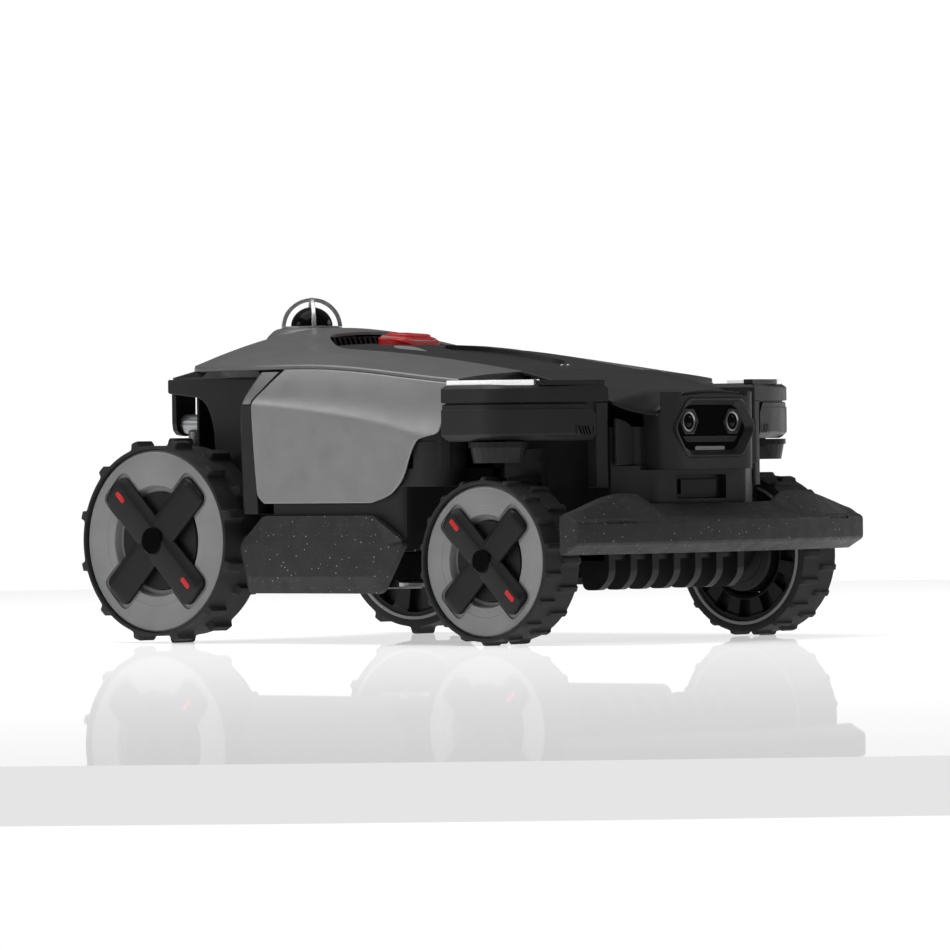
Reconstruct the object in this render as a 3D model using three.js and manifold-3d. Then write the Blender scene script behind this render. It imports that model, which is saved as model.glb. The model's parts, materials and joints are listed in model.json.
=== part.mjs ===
// Robotic lawn mower: four driven wheels, two steered at the front, two sprung at the back.
// Millimetres. +X is forward, +Y is the mower's left, +Z is up.
// The origin is under the middle of the machine, on the ground.
import * as THREE from 'three';
import { mergeVertices } from 'three/addons/utils/BufferGeometryUtils.js';
import { ConvexGeometry } from 'three/addons/geometries/ConvexGeometry.js';
import Module from 'manifold-3d';

const wasm = await Module();
wasm.setup();

// ---------------------------------------------------------------- driving dimensions

const gap = 0.4;                       // clearance between neighbouring pieces
const wall = 3;                        // thickness of moulded covers
const sides = [['left', 1], ['right', -1]];

const wheelbase = 458;
const rearAxleX = -252;
const frontAxleX = rearAxleX + wheelbase;
const wheelFace = 250;                 // half the overall width, at the hub caps
const kingpinY = 218;                  // steering axis of each front wheel

const rearWheel = {
  radius: 110, tread: 102, disc: 98, barrel: 94, width: 66, tip: 83, arm: 38, recess: 60,
  motor: 50, reach: 78, bore: 8, lugs: 12, lugAngle: 6,
};
const frontWheel = {
  radius: 88, tread: 84, disc: 79.5, barrel: 76, width: 60, tip: 67, arm: 31, recess: 49,
  motor: 40, reach: 68, bore: 7, lugs: 18, lugAngle: 5,
};

const deck = { x: 4, radius: 128, top: 94, bottom: 66, discRadius: 92, discZ: 58 };
const floorPlate = { bottom: 168, top: 172 };
const bodyBottom = 100;
const crease = 165;                    // half width of the cover's flat back
const shoulderY = 236;                 // widest line of the side panels
const panelBottom = 149;
const coverRearX = -270;

// ---------------------------------------------------------------- materials

const paint = (color, roughness, metalness = 0) =>
  new THREE.MeshStandardMaterial({ color, roughness, metalness });
const look = {
  cover: paint(0x6f6f70, 0.42, 0.3),
  panel: paint(0x98989a, 0.36, 0.45),
  dark: paint(0x2f3031, 0.5),
  black: paint(0x161617, 0.45),
  fleck: paint(0x222324, 0.6),
  rim: paint(0x707274, 0.5),
  rubber: paint(0x1b1b1c, 0.85),
  glass: paint(0x050506, 0.08),
  steel: paint(0x9a9da0, 0.35, 0.9),
  red: paint(0xb01f22, 0.4),
  light: paint(0xf2f2ee, 0.4),
  board: paint(0x1e4a33, 0.6),
};

// ---------------------------------------------------------------- shape helpers

/** Turns a closed geometry into a solid for joining and cutting. */
function solid(geometry) {
  const bare = geometry.index ? geometry.toNonIndexed() : geometry.clone();
  bare.deleteAttribute('normal');
  bare.deleteAttribute('uv');
  const merged = mergeVertices(bare, 1e-4);
  return new wasm.Manifold(new wasm.Mesh({
    numProp: 3,
    vertProperties: new Float32Array(merged.attributes.position.array),
    triVerts: new Uint32Array(merged.index.array),
  }));
}

/** Turns a solid back into a flat-shaded geometry. */
function geometryOf(body) {
  const mesh = body.getMesh();
  const geometry = new THREE.BufferGeometry();
  geometry.setAttribute('position', new THREE.BufferAttribute(new Float32Array(mesh.vertProperties), 3));
  geometry.setIndex(new THREE.BufferAttribute(new Uint32Array(mesh.triVerts), 1));
  const flat = geometry.toNonIndexed();
  flat.computeVertexNormals();
  return flat;
}

const join = (...bodies) => bodies.reduce((whole, body) => whole.add(body));
const cut = (body, ...tools) => tools.reduce((left, tool) => left.subtract(tool), body);

/** A box between two corners. */
function box(x0, x1, y0, y1, z0, z1) {
  const geometry = new THREE.BoxGeometry(x1 - x0, y1 - y0, z1 - z0);
  return solid(geometry.translate((x0 + x1) / 2, (y0 + y1) / 2, (z0 + z1) / 2));
}

/** A cylinder or cone along an axis, from one coordinate to another, centred on the other two. */
function rod(axis, from, to, centre, r0, r1 = r0, segments = 20) {
  const geometry = new THREE.CylinderGeometry(r1, r0, to - from, segments);
  const middle = (from + to) / 2;
  if (axis === 'x') geometry.rotateZ(-Math.PI / 2).translate(middle, centre[0], centre[1]);
  if (axis === 'y') geometry.translate(centre[0], middle, centre[1]);
  if (axis === 'z') geometry.rotateX(Math.PI / 2).translate(centre[0], centre[1], middle);
  return solid(geometry);
}

/** A closed outline through corner points [a, b, radius], with round corners where a radius is given. */
function outline(points) {
  const shape = new THREE.Shape();
  const count = points.length;
  points.forEach(([a, b, radius = 0], i) => {
    const corner = new THREE.Vector2(a, b);
    const before = new THREE.Vector2(...points[(i + count - 1) % count]);
    const after = new THREE.Vector2(...points[(i + 1) % count]);
    const [back, ahead] = [before.sub(corner), after.sub(corner)];
    const enter = back.clone().setLength(Math.min(radius, back.length() * 0.48)).add(corner);
    const leave = ahead.clone().setLength(Math.min(radius, ahead.length() * 0.48)).add(corner);
    if (i === 0) shape.moveTo(enter.x, enter.y);
    else shape.lineTo(enter.x, enter.y);
    if (radius > 0) shape.quadraticCurveTo(corner.x, corner.y, leave.x, leave.y);
  });
  shape.closePath();
  return shape;
}

/** An outline pushed through space: plan outlines along z, side outlines (x, z) along y, front ones along x. */
function prism(axis, shape, from, to, curveSegments = 3) {
  const geometry = new THREE.ExtrudeGeometry(shape, { depth: to - from, bevelEnabled: false, curveSegments });
  if (axis === 'z') geometry.translate(0, 0, from);
  if (axis === 'y') geometry.rotateX(Math.PI / 2).translate(0, to, 0);
  if (axis === 'x') geometry.rotateX(Math.PI / 2).rotateZ(Math.PI / 2).translate(from, 0, 0);
  return solid(geometry);
}

/** A plan outline given for the left side and repeated on the right. */
function plan(leftPoints) {
  const right = leftPoints.filter(([, y]) => y > 0).map(([x, y, r]) => [x, -y, r]).reverse();
  return outline([...leftPoints, ...right]);
}

/** A ring about the y axis from a closed profile of [radius, y] points. */
function turned(profile, segments = 36) {
  const loop = profile.map(([r, y]) => new THREE.Vector2(r, y));
  if (THREE.ShapeUtils.isClockWise(loop)) loop.reverse();
  return solid(new THREE.LatheGeometry([...loop, loop[0]], segments));
}

/** The smallest convex solid around some points. */
function hull(points) {
  return solid(new ConvexGeometry(points.map((p) => new THREE.Vector3(...p))));
}

/** A solid between an outer and an inner grid of points, closed round its border. */
function shell(outer, inner) {
  const rows = outer.length;
  const columns = outer[0].length;
  const triangles = [];
  const quad = (a, b, c, d) => triangles.push(a, b, c, a, c, d);
  for (let i = 0; i < rows - 1; i++) {
    for (let j = 0; j < columns - 1; j++) {
      quad(outer[i][j], outer[i + 1][j], outer[i + 1][j + 1], outer[i][j + 1]);
      quad(inner[i][j], inner[i][j + 1], inner[i + 1][j + 1], inner[i + 1][j]);
    }
    quad(outer[i][0], inner[i][0], inner[i + 1][0], outer[i + 1][0]);
    quad(outer[i + 1][columns - 1], inner[i + 1][columns - 1], inner[i][columns - 1], outer[i][columns - 1]);
  }
  for (let j = 0; j < columns - 1; j++) {
    quad(outer[0][j + 1], inner[0][j + 1], inner[0][j], outer[0][j]);
    quad(outer[rows - 1][j], inner[rows - 1][j], inner[rows - 1][j + 1], outer[rows - 1][j + 1]);
  }
  return solid(facingOut(triangles));
}

/** A solid through rings of points, with a flat cap on each end. */
function loft(rings) {
  const triangles = [];
  const count = rings[0].length;
  const middle = (ring) => ring.reduce((sum, p) => sum.add(p), new THREE.Vector3()).divideScalar(count);
  const ends = [middle(rings[0]), middle(rings[rings.length - 1])];
  for (let j = 0; j < count; j++) {
    const k = (j + 1) % count;
    for (let i = 0; i < rings.length - 1; i++) {
      triangles.push(rings[i][j], rings[i + 1][j], rings[i + 1][k]);
      triangles.push(rings[i][j], rings[i + 1][k], rings[i][k]);
    }
    triangles.push(ends[0], rings[0][j], rings[0][k]);
    triangles.push(ends[1], rings[rings.length - 1][k], rings[rings.length - 1][j]);
  }
  return solid(facingOut(triangles));
}

/** A geometry from loose triangles, turned over if it would enclose less than nothing. */
function facingOut(corners) {
  let volume = 0;
  for (let i = 0; i < corners.length; i += 3) {
    volume += corners[i].dot(new THREE.Vector3().crossVectors(corners[i + 1], corners[i + 2]));
  }
  if (volume < 0) {
    for (let i = 0; i < corners.length; i += 3) {
      [corners[i + 1], corners[i + 2]] = [corners[i + 2], corners[i + 1]];
    }
  }
  return new THREE.BufferGeometry().setFromPoints(corners);
}

/** The same solid on the other side of the machine when side is -1. */
function onSide(body, side) {
  if (side > 0) return body;
  const geometry = geometryOf(body).scale(1, -1, 1);
  const p = geometry.attributes.position;
  const corners = [];
  for (let i = 0; i < p.count; i += 3) {
    corners.push(...[0, 2, 1].map((k) => new THREE.Vector3().fromBufferAttribute(p, i + k)));
  }
  return solid(new THREE.BufferGeometry().setFromPoints(corners));
}

const both = (body) => join(body, onSide(body, -1));

/** A value read off a line through [x, value] points. */
function along(points, x) {
  if (x <= points[0][0]) return points[0][1];
  for (let i = 1; i < points.length; i++) {
    const [x0, v0] = points[i - 1];
    const [x1, v1] = points[i];
    if (x <= x1) return v0 + (v1 - v0) * (x - x0) / (x1 - x0);
  }
  return points[points.length - 1][1];
}

const range = (from, to, steps) =>
  Array.from({ length: steps + 1 }, (_, i) => from + (to - from) * i / steps);

const mower = new THREE.Group();

function addPart(name, body, material, parent = mower) {
  const mesh = new THREE.Mesh(geometryOf(body), material);
  mesh.name = name;
  parent.add(mesh);
  return mesh;
}

// ---------------------------------------------------------------- the back's surface

const ridge = [[-270, 297], [-258, 311], [-246, 325], [-232, 334], [-212, 338], [-190, 338], [-163, 334],
  [-112, 329], [-48, 318], [-13, 314], [77, 300], [149, 288], [200, 278], [234, 271], [258, 269]];
const creaseLine = [[-270, 296], [-258, 304], [-244, 310], [-192, 315], [-102, 313], [-13, 304],
  [77, 293], [149, 283]];
const edgeLine = [[-270, 295], [-69, 296], [149, 278]];
const coverHalfWidth = [[-270, 146], [-264, 162], [-252, 176], [-222, 190], [-182, 201], [-134, 212],
  [-92, 215], [149, 215]];

/** Height of the painted back at a place in plan. */
function backHeight(x, y) {
  const out = Math.abs(y);
  const top = along(ridge, x);
  const fold = along(creaseLine, x);
  if (out <= crease) return top - (top - fold) * (out / crease) ** 2;
  const reach = Math.max(along(coverHalfWidth, x), crease + 1);
  return fold - (fold - along(edgeLine, x)) * Math.min(1, (out - crease) / (reach - crease));
}

/** Rows of points on the back between two x values, out to a half width given per x. */
function backGrid(xs, halfWidth, shares, drop) {
  return xs.map((x) => shares.map((share) => {
    const y = share * halfWidth(x);
    return new THREE.Vector3(x, y, backHeight(x, y) - drop);
  }));
}

// Side panels: their front and rear edges and the line where they lean in.
const panelLeft = [[149, -112.5], [176, -115.5], [228, -119.5], [255, -121], [278, -104], [296, -88]];
const panelRight = [[149, 63], [173, 88], [215, 109], [225, 138], [278, 149]];
const shoulderLine = [[-121, 255], [-52, 248], [4, 241], [59, 232], [107, 220], [149, 214]];

function panelSurface(x, z, inset) {
  const shoulder = along(shoulderLine, x);
  const top = along(edgeLine, x);
  const lean = z > shoulder ? 21 * ((z - shoulder) / (top - shoulder)) ** 1.4 : 0;
  return shoulderY - lean - inset;
}

// ---------------------------------------------------------------- painted cover

const coverXs = [-270, -264, -257, -246, -232, -212, -182, -134, -104, -92, -34, 40, 100, 149];
const coverShares = [-1, -0.88, -0.77, -0.6, -0.35, 0, 0.35, 0.6, 0.77, 0.88, 1];
const coverWidth = (x) => along(coverHalfWidth, x);
const coverShell = shell(backGrid(coverXs, coverWidth, coverShares, 0),
  backGrid(coverXs, coverWidth, coverShares, wall));
const stripPlan = (inset) => plan([[-152 + inset, 100 - inset, 44], [-110, 132 - inset, 30],
  [-60, 134 - inset, 30], [60, 110 - inset, 20], [160, 104 - inset]]);
const coverSlot = prism('z', stripPlan(0), 250, 380, 6);
// A wall hangs from the back's edge down each side.
const rimFloor = (x) => (x < -100 ? 284 : along(edgeLine, x) - 4);
const coverRim = loft(coverXs.map((x, i) => {
  const [outer, inner] = [0.5, wall + 1].map((inset) =>
    [i === 0 ? x + inset : x, coverWidth(x) - inset]);
  const top = ([px, py]) => new THREE.Vector3(px, py, backHeight(px, py) - 1);
  const low = ([px, py]) => new THREE.Vector3(px, py, rimFloor(outer[0]));
  return [low(outer), top(outer), top(inner), low(inner)];
}));
const coverTail = loft([-146, 146].map((y) => [[coverRearX + 0.5, 284], [coverRearX + 0.5, 294],
  [coverRearX + 4, 296], [coverRearX + 4, 284]].map(([x, z]) => new THREE.Vector3(x, y, z))));
const antenna = { x: -237, base: 338.6, dome: 23, cage: 33.5, bar: 4.6 };
const antennaMound = rod('z', 318, antenna.base - 0.3, [antenna.x, 0], 56, 38, 32);
const pillarEdges = [[138, -136, -113.5], [150, -137, -114], [176, -138, -116.5], [228, -139, -120.5],
  [246, -139, -122], [256, -137, -122.5], [270, -121, -111.5], [289, -103.5, -96]];
const pillar = loft(pillarEdges.map(([z, back, front]) => {
  const face = panelSurface(front, z, 2);
  return [[back, 207.5], [back, face - 2], [back + 3, face], [front, face], [front, 207.5]]
    .map(([x, y]) => new THREE.Vector3(x, y, z));
}));
addPart('top_cover',
  join(cut(join(coverShell, antennaMound), coverSlot), both(join(coverRim, pillar)), coverTail),
  look.cover);

// ---------------------------------------------------------------- centre strip and hood

const hoodXs = [-156, -120, -70, -20, 30, 80, 130, 149];
const hoodShares = [-1, -0.8, -0.5, -0.2, 0.2, 0.5, 0.8, 1];
const stripReach = () => 140;
const stripShell = shell(backGrid(hoodXs, stripReach, hoodShares, 0.5),
  backGrid(hoodXs, stripReach, hoodShares, 7)).intersect(prism('z', stripPlan(gap), 250, 380, 6));
const noseWidth = [[148, 96.6], [152, 116], [276, 116], [290, 92], [300, 76], [308, 60], [317, 46]];
const noseDroop = [[148, 0], [230, 4], [276, 14], [290, 22], [300, 24], [308, 11], [317, 2]];
const noseXs = [148, 152, 190, 230, 262, 278, 290, 300, 308, 317];
const noseRidge = (x) => along([[149, 288], [200, 278], [234, 272], [258, 269], [300, 266], [317, 264.5]], x);
const noseGrid = (drop, grow = 0) => noseXs.map((x, i) => hoodShares.map((share) => {
  const y = share * (along(noseWidth, x) + grow);
  const z = noseRidge(x) - 0.5 - along(noseDroop, x) * share ** 2 - drop;
  return new THREE.Vector3(i === noseXs.length - 1 ? x + grow : x, y, z);
}));
const nose = shell(noseGrid(0), noseGrid(4));
const noseRoom = shell(noseGrid(-gap, gap), noseGrid(4 + gap, gap));
const stopPocket = box(-122, -72, -36, 36, 292.5, 340);
const gripPocket = prism('z', plan([[-148, 80, 30], [-123, 80]]), 300, 345, 4);
const gripTray = cut(prism('z', plan([[-150.5, 84, 32], [-117, 84]]), 296, 325, 4), gripPocket);
const stopTray = cut(box(-125, -69, -39, 39, 289, 311), stopPocket);
addPart('centre_console',
  join(cut(stripShell, gripPocket, stopPocket), nose, cut(gripTray, stopPocket), stopTray), look.dark);

const buttonSide = outline([[-120.5, 299], [-120.5, 325, 3], [-115, 330, 4], [-94, 329.5, 6], [-80, 325, 5],
  [-74.5, 316, 3], [-74.5, 299]]);
addPart('stop_button', prism('y', buttonSide, -34, 34), look.red);

for (const [name, side] of sides) {
  const x = 119;
  const y = 5 * side;
  addPart(`rain_sensor_${name}`, rod('z', backHeight(x, y) + 0.1, 293.6, [x, y], 2.6, 2, 12), look.steel);
}

// ---------------------------------------------------------------- satellite antenna

const domeProfile = [new THREE.Vector2(0, 0), new THREE.Vector2(antenna.dome, 0)];
for (const a of range(0.25, Math.PI / 2, 5)) {
  domeProfile.push(new THREE.Vector2(antenna.dome * Math.cos(a), antenna.dome * Math.sin(a)));
}
domeProfile[domeProfile.length - 1].x = 0;
const domeGeometry = new THREE.LatheGeometry(domeProfile, 24).rotateX(Math.PI / 2);
addPart('antenna_dome', solid(domeGeometry.translate(antenna.x, 0, antenna.base)), look.glass);
const cageTop = 372 - antenna.base;
const archOuter = new THREE.Shape();
archOuter.moveTo(antenna.cage, 0);
for (const a of range(0, Math.PI, 16).slice(1)) {
  archOuter.lineTo(antenna.cage * Math.cos(a), cageTop * Math.sin(a));
}
const innerCage = antenna.cage - antenna.bar;
for (const a of range(Math.PI, 0, 16)) {
  archOuter.lineTo(innerCage * Math.cos(a), (cageTop - antenna.bar) * Math.sin(a));
}
const arch = (turn) => {
  const geometry = new THREE.ExtrudeGeometry(archOuter, { depth: antenna.bar, bevelEnabled: false });
  geometry.translate(0, 0, -antenna.bar / 2).rotateX(Math.PI / 2).rotateZ(turn);
  return solid(geometry.translate(antenna.x, 0, antenna.base));
};
addPart('antenna_guard', join(arch(Math.PI / 4), arch(-Math.PI / 4)), look.steel);

// ---------------------------------------------------------------- chassis

const midPlan = plan([[-132, 100], [-132, 206, 8], [-94, 206], [-94, 231], [88, 231, 8], [98, 180],
  [133, 135], [178, 122], [276, 120], [296, 82, 10], [302, 78, 6]]);
const midOuter = prism('z', midPlan, bodyBottom, 185);
const upperPlan = plan([[-132, 100], [-132, 206, 8], [-94, 206], [-94, 231], [120, 231, 20],
  [142, 214, 20], [142, 122], [276, 120], [286, 82]]);
const upperOuter = prism('z', upperPlan, 185, 226);
const crownPlan = plan([[-134, 100], [-134, 207, 10], [146, 207, 20], [146, 114], [226, 114]]);
const crownOuter = prism('z', crownPlan, 226, 262);
const rearOuter = box(-290, -130, -100, 100, 126, 268);
const upperBay = prism('z', plan([[-286, 96], [-128, 96], [-128, 203, 10], [138, 203, 20], [138, 110],
  [222, 110]]), floorPlate.top, 290);
const lowerBay = prism('z', plan([[-128, 202, 8], [-90, 202], [-90, 226], [84, 225, 8], [92, 178],
  [129, 131], [174, 118], [236, 112]]), 90, floorPlate.bottom);
const chargePocket = box(292, 310, -42, 42, 150, 175);
const headSeat = box(289.6, 320, -90, 90, 180.6, 190);
const guideY = 40;
const guideBores = both(rod('x', 250, 310, [guideY, 122], 6.6, 6.6, 16));
const earX = 42;
const armPivot = { y: 56, z: 98, pin: 5 };
const ear = (x) => cut(
  prism('x', outline([[armPivot.y - 14, 128], [armPivot.y - 12, 86, 8], [armPivot.y + 12, 86, 8],
    [armPivot.y + 14, 128]]), rearAxleX + x - 4, rearAxleX + x + 4),
  rod('x', rearAxleX + x - 6, rearAxleX + x + 6, [armPivot.y, armPivot.z], armPivot.pin + 0.5, undefined, 16));
const chassis = cut(
  join(midOuter, upperOuter, crownOuter, rearOuter, both(join(ear(-earX), ear(earX)))),
  upperBay, lowerBay, chargePocket, headSeat, guideBores,
  rod('z', 160, 176, [deck.x - 80, 0], 9, undefined, 16));
addPart('lower_chassis', chassis, look.dark);

// Rear frame: a top slab with a hooked plate down each side, and the ears that hold the shocks.
const frameY = 175;
const hook = prism('y', outline([[-290, 283], [-163, 283, 8], [-190, 256, 12], [-191, 172], [-226, 172],
  [-226, 232], [-238, 262, 18], [-268, 266, 6], [-290, 269]]), frameY - 12, frameY);
const shock = { x: -289, y: 132, top: 235, bottom: 122, radius: 15, pin: 4.2 };
const shockEar = (x) => prism('x', outline([[shock.y - 16, 270], [shock.y - 16, 222, 14],
  [shock.y + 16, 222, 14], [shock.y + 16, 270]]), shock.x + x - 3, shock.x + x + 3);
const shockBolt = rod('x', shock.x - 26, shock.x + 26, [shock.y, shock.top], shock.pin, undefined, 12);
const slab = prism('z', plan([[-295, 158, 12], [-282, 172, 8], [-205, 172]]), 268.4, 283);
const slabFront = prism('z', plan([[-210, 172], [-136, 172]]), 268.4, 283);
addPart('rear_frame',
  join(slab, slabFront, both(join(hook, shockEar(-19), shockEar(19), shockBolt))), look.black);

// ---------------------------------------------------------------- side panels and sills

function panelGrid(inset) {
  const heights = [0, 0.06, 0.2, 0.4, 0.52, 0.62, 0.72, 0.82, 0.91, 1];
  return heights.map((v) => {
    const level = panelBottom + v * (296 - panelBottom);
    const start = along(panelLeft, level);
    const end = along(panelRight, panelBottom + v * (278 - panelBottom));
    return range(start, end, 8).map((x) => {
      const z = panelBottom + v * (along(edgeLine, x) - 4.5 - panelBottom);
      return new THREE.Vector3(x, panelSurface(x, z, inset), z);
    });
  });
}
const panelBody = shell(panelGrid(0), panelGrid(wall));

const sillOutline = [[-101, 136], [-134, 106], [-122, 54], [62, 54], [95, 108], [51, 136]];
const sillFace = [[-96, 109], [-126, 104], [-116, 72], [58, 72], [84, 106], [70, 109]];
const sillBody = hull([
  ...sillOutline.map(([x, z]) => [x, shoulderY, z]),
  ...sillOutline.map(([x, z]) => [x, shoulderY + 6, z]),
  ...sillFace.map(([x, z]) => [x, 249, z]),
]);
const sillFlange = box(-118, 56, 231.4, shoulderY + 1, 104, 134);
for (const [name, side] of sides) {
  addPart(`side_panel_${name}`, onSide(panelBody, side), look.panel);
  addPart(`side_sill_${name}`, onSide(join(sillBody, sillFlange), side), look.fleck);
}

// ---------------------------------------------------------------- steering pods

const pod = { bottom: 212.5, seam: 252, top: 271.5, rearX: 152 };
const podPlan = (inset) => outline([
  [pod.rearX + inset, 122 + inset], [pod.rearX + inset, wheelFace - inset, 4],
  [226 - inset, wheelFace - inset, 14], [258 - inset, 190 - inset, 30], [278 - inset, 122 + inset]]);
const podBody = cut(
  join(prism('z', podPlan(0), pod.bottom, pod.top - 4), prism('z', podPlan(3), pod.top - 4, pod.top)),
  prism('z', podPlan(3.5), pod.bottom + 4, pod.top - 4),
  rod('z', 200, 230, [frontAxleX, kingpinY], 11, undefined, 16));
const lightBar = prism('z', outline([[156, 231], [156, 243, 2], [224, 243, 12], [250, 196], [242, 192],
  [220, 231, 8]]), pod.top + 0.3, pod.top + 5);
const steerMotor = join(
  rod('z', 234, 262, [frontAxleX, kingpinY - 6], 20, undefined, 20),
  box(168, frontAxleX, kingpinY - 60, kingpinY - 24, 222, 258),
  box(180, frontAxleX, kingpinY - 28, kingpinY - 6, 236, 250));
for (const [name, side] of sides) {
  addPart(`steering_pod_${name}`, onSide(podBody, side), look.dark);
  addPart(`light_bar_${name}`, onSide(lightBar, side), look.light);
  addPart(`steering_motor_${name}`, onSide(steerMotor, side), look.steel);
}

// ---------------------------------------------------------------- camera

const head = { front: 321, halfWidth: 75, bottom: 181, top: 262 };
const windowOutline = (inset) => [
  [-68 + inset * 1.2, 224, 6], [-47 + inset, 255 - inset, 6], [47 - inset, 255 - inset, 6],
  [68 - inset * 1.2, 224, 6], [47 - inset, 194 + inset, 6], [-47 + inset, 194 + inset, 6]];
const headPlan = outline([[290, -head.halfWidth], [head.front, -head.halfWidth, 14],
  [head.front, head.halfWidth, 14], [290, head.halfWidth]]);
const lensPlace = { y: 36.8, z: 233, radius: 9 };
const headBody = cut(prism('z', headPlan, head.bottom, head.top, 6),
  prism('x', outline(windowOutline(4)), head.front - 7, head.front + 2));
addPart('camera_housing', cut(headBody, noseRoom), look.dark);
const lensBores = both(rod('x', head.front - 10, head.front + 2, [lensPlace.y, lensPlace.z],
  lensPlace.radius + gap, undefined, 20));
addPart('camera_window',
  cut(prism('x', outline(windowOutline(4.4)), head.front - 6.6, head.front - 3.4), lensBores), look.glass);
for (const [name, side] of sides) {
  addPart(`camera_lens_${name}`,
    rod('x', head.front - 6.6, head.front - 2, [lensPlace.y * side, lensPlace.z], 9, 7.6, 20), look.glass);
}
addPart('charging_socket',
  join(box(292.4, 294.4, -41.6, 41.6, 150.4, 174.6), box(294, 298, -30, 30, 155, 170)), look.black);

// ---------------------------------------------------------------- bumper and guard

const bumperRear = 306.5;
const bumperHalf = 243;
const bumperReach = (y) => 362 - 5.3e-4 * y * y;
function bumperSection(y) {
  const out = Math.abs(y);
  const front = Math.min(bumperReach(y), 328 + (bumperHalf - out) * 3);
  const hump = along([[0, 145], [104, 146], [124, 156], [150, 157], [bumperHalf, 137]], out);
  const brow = along([[0, 133], [104, 134], [124, 150], [160, 152], [bumperHalf, 135]], out);
  const setback = along([[0, 22], [104, 22], [124, 30], [bumperHalf, 14]], out);
  return [[bumperRear, 97], [front - 20, 94], [front, 105], [front, 127], [front - 8, 131],
    [front - setback, brow], [bumperRear + 5, hump], [bumperRear, hump - 5]]
    .map(([x, z]) => new THREE.Vector3(x, y, z));
}
const bumperStations = [-bumperHalf, -232, -190, -150, -124, -104, -60, 0, 60, 104, 124, 150, 190, 232,
  bumperHalf];
const bumperGuides = both(rod('x', 268, 308, [guideY, 122], 6, 6, 16));
addPart('front_bumper', join(loft(bumperStations.map(bumperSection)), bumperGuides), look.fleck);

const fin = { count: 7, pitch: 36.4, thick: 11 };
const finSide = outline([[224, 99.5], [268, 99.5], [268, 68, 6], [254, 55, 4], [232, 55, 6]]);
const finBodies = range(0, fin.count - 1, fin.count - 1).map((i) => {
  const y = (i - (fin.count - 1) / 2) * fin.pitch;
  return prism('y', finSide, y - fin.thick / 2, y + fin.thick / 2, 3);
});
const combReach = (fin.count - 1) / 2 * fin.pitch + fin.thick / 2;
addPart('guard_comb', join(box(228, 262, -combReach, combReach, 86, 99.6), ...finBodies), look.fleck);

// ---------------------------------------------------------------- wheels

/** The outline of a tread row: a round root with raised lugs, and a round hole for the rim. */
function treadRow(wheel, phase, bore) {
  const shape = new THREE.Shape();
  const step = 2 * Math.PI / wheel.lugs;
  const half = THREE.MathUtils.degToRad(wheel.lugAngle / 2);
  for (let i = 0; i < wheel.lugs; i++) {
    const a = (i + phase) * step;
    const crest = wheel.radius / Math.cos(half);
    const stops = [[-half * 1.25, wheel.tread], [-half, crest], [half, crest],
      [half * 1.25, wheel.tread]];
    for (const [offset, radius] of stops) {
      const place = [radius * Math.cos(a + offset), radius * Math.sin(a + offset)];
      if (shape.curves.length === 0 && shape.currentPoint.lengthSq() === 0) shape.moveTo(...place);
      else shape.lineTo(...place);
    }
  }
  shape.closePath();
  const hole = new THREE.Path();
  hole.absarc(0, 0, bore, 0, 2 * Math.PI, true);
  shape.holes.push(hole);
  return shape;
}

/** Wheel pieces about the y axis, outer face at y = 0 and everything else inboard of it. */
function wheelPieces(wheel) {
  const inner = -wheel.width;
  const middle = -wheel.width / 2;
  const face = -3.5;
  const tyre = cut(
    join(prism('y', treadRow(wheel, 0.5, wheel.barrel + gap), middle, face + 1, 18),
      prism('y', treadRow(wheel, 0, wheel.barrel + gap), inner, middle, 18)),
    turned([[wheel.barrel - 5, face - 6.6], [wheel.disc + gap, face - 6.6], [wheel.disc + gap, 5],
      [wheel.barrel - 5, 5]]));
  const web = -14;
  const rim = turned([[wheel.bore + gap, web - 5], [wheel.bore + gap, web], [wheel.recess - 7, web],
    [wheel.recess, face - 6], [wheel.disc, face - 4], [wheel.disc, face - 5], [wheel.barrel, face - 6],
    [wheel.barrel, inner], [wheel.barrel - 3, inner], [wheel.barrel - 3, web - 5]]);
  const arm = wheel.arm / 2;
  const tip = wheel.tip;
  const corner = wheel.arm * 0.28;
  const notch = wheel.arm * 0.5;
  const cross = [];
  for (let k = 0; k < 4; k++) {
    const a = Math.PI / 4 + k * Math.PI / 2;
    const [c, s] = [Math.cos(a), Math.sin(a)];
    cross.push([tip * c + arm * s, tip * s - arm * c, corner], [tip * c - arm * s, tip * s + arm * c, corner],
      [arm * (c - s), arm * (c + s), notch]);
  }
  const cap = join(prism('y', outline(cross), face - 3.6, 0, 3),
    rod('y', web + 0.4, face, [0, 0], wheel.recess * 0.62, undefined, 24));
  const motor = join(
    rod('y', -wheel.reach, web - 12, [0, 0], wheel.motor, undefined, 28),
    rod('y', web - 13, web - 0.5, [0, 0], wheel.bore, undefined, 16));
  return { tyre, rim, cap, motor };
}

const wheelSets = [
  ['rear', rearWheel, rearAxleX, rearWheel.radius],
  ['front', frontWheel, frontAxleX, frontWheel.radius],
];
for (const [end, wheel, x, z] of wheelSets) {
  const pieces = wheelPieces(wheel);
  for (const [name, side] of sides) {
    const corner = new THREE.Group();
    corner.position.set(x, wheelFace * side, z);
    corner.rotation.z = side > 0 ? 0 : Math.PI;
    addPart(`${end}_tyre_${name}`, pieces.tyre, look.rubber, corner);
    addPart(`${end}_rim_${name}`, pieces.rim, look.rim, corner);
    addPart(`${end}_hub_cap_${name}`, pieces.cap, look.black, corner);
    addPart(`${end}_wheel_motor_${name}`, pieces.motor, look.steel, corner);
    mower.add(corner);
  }
}

// ---------------------------------------------------------------- rear suspension

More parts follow.
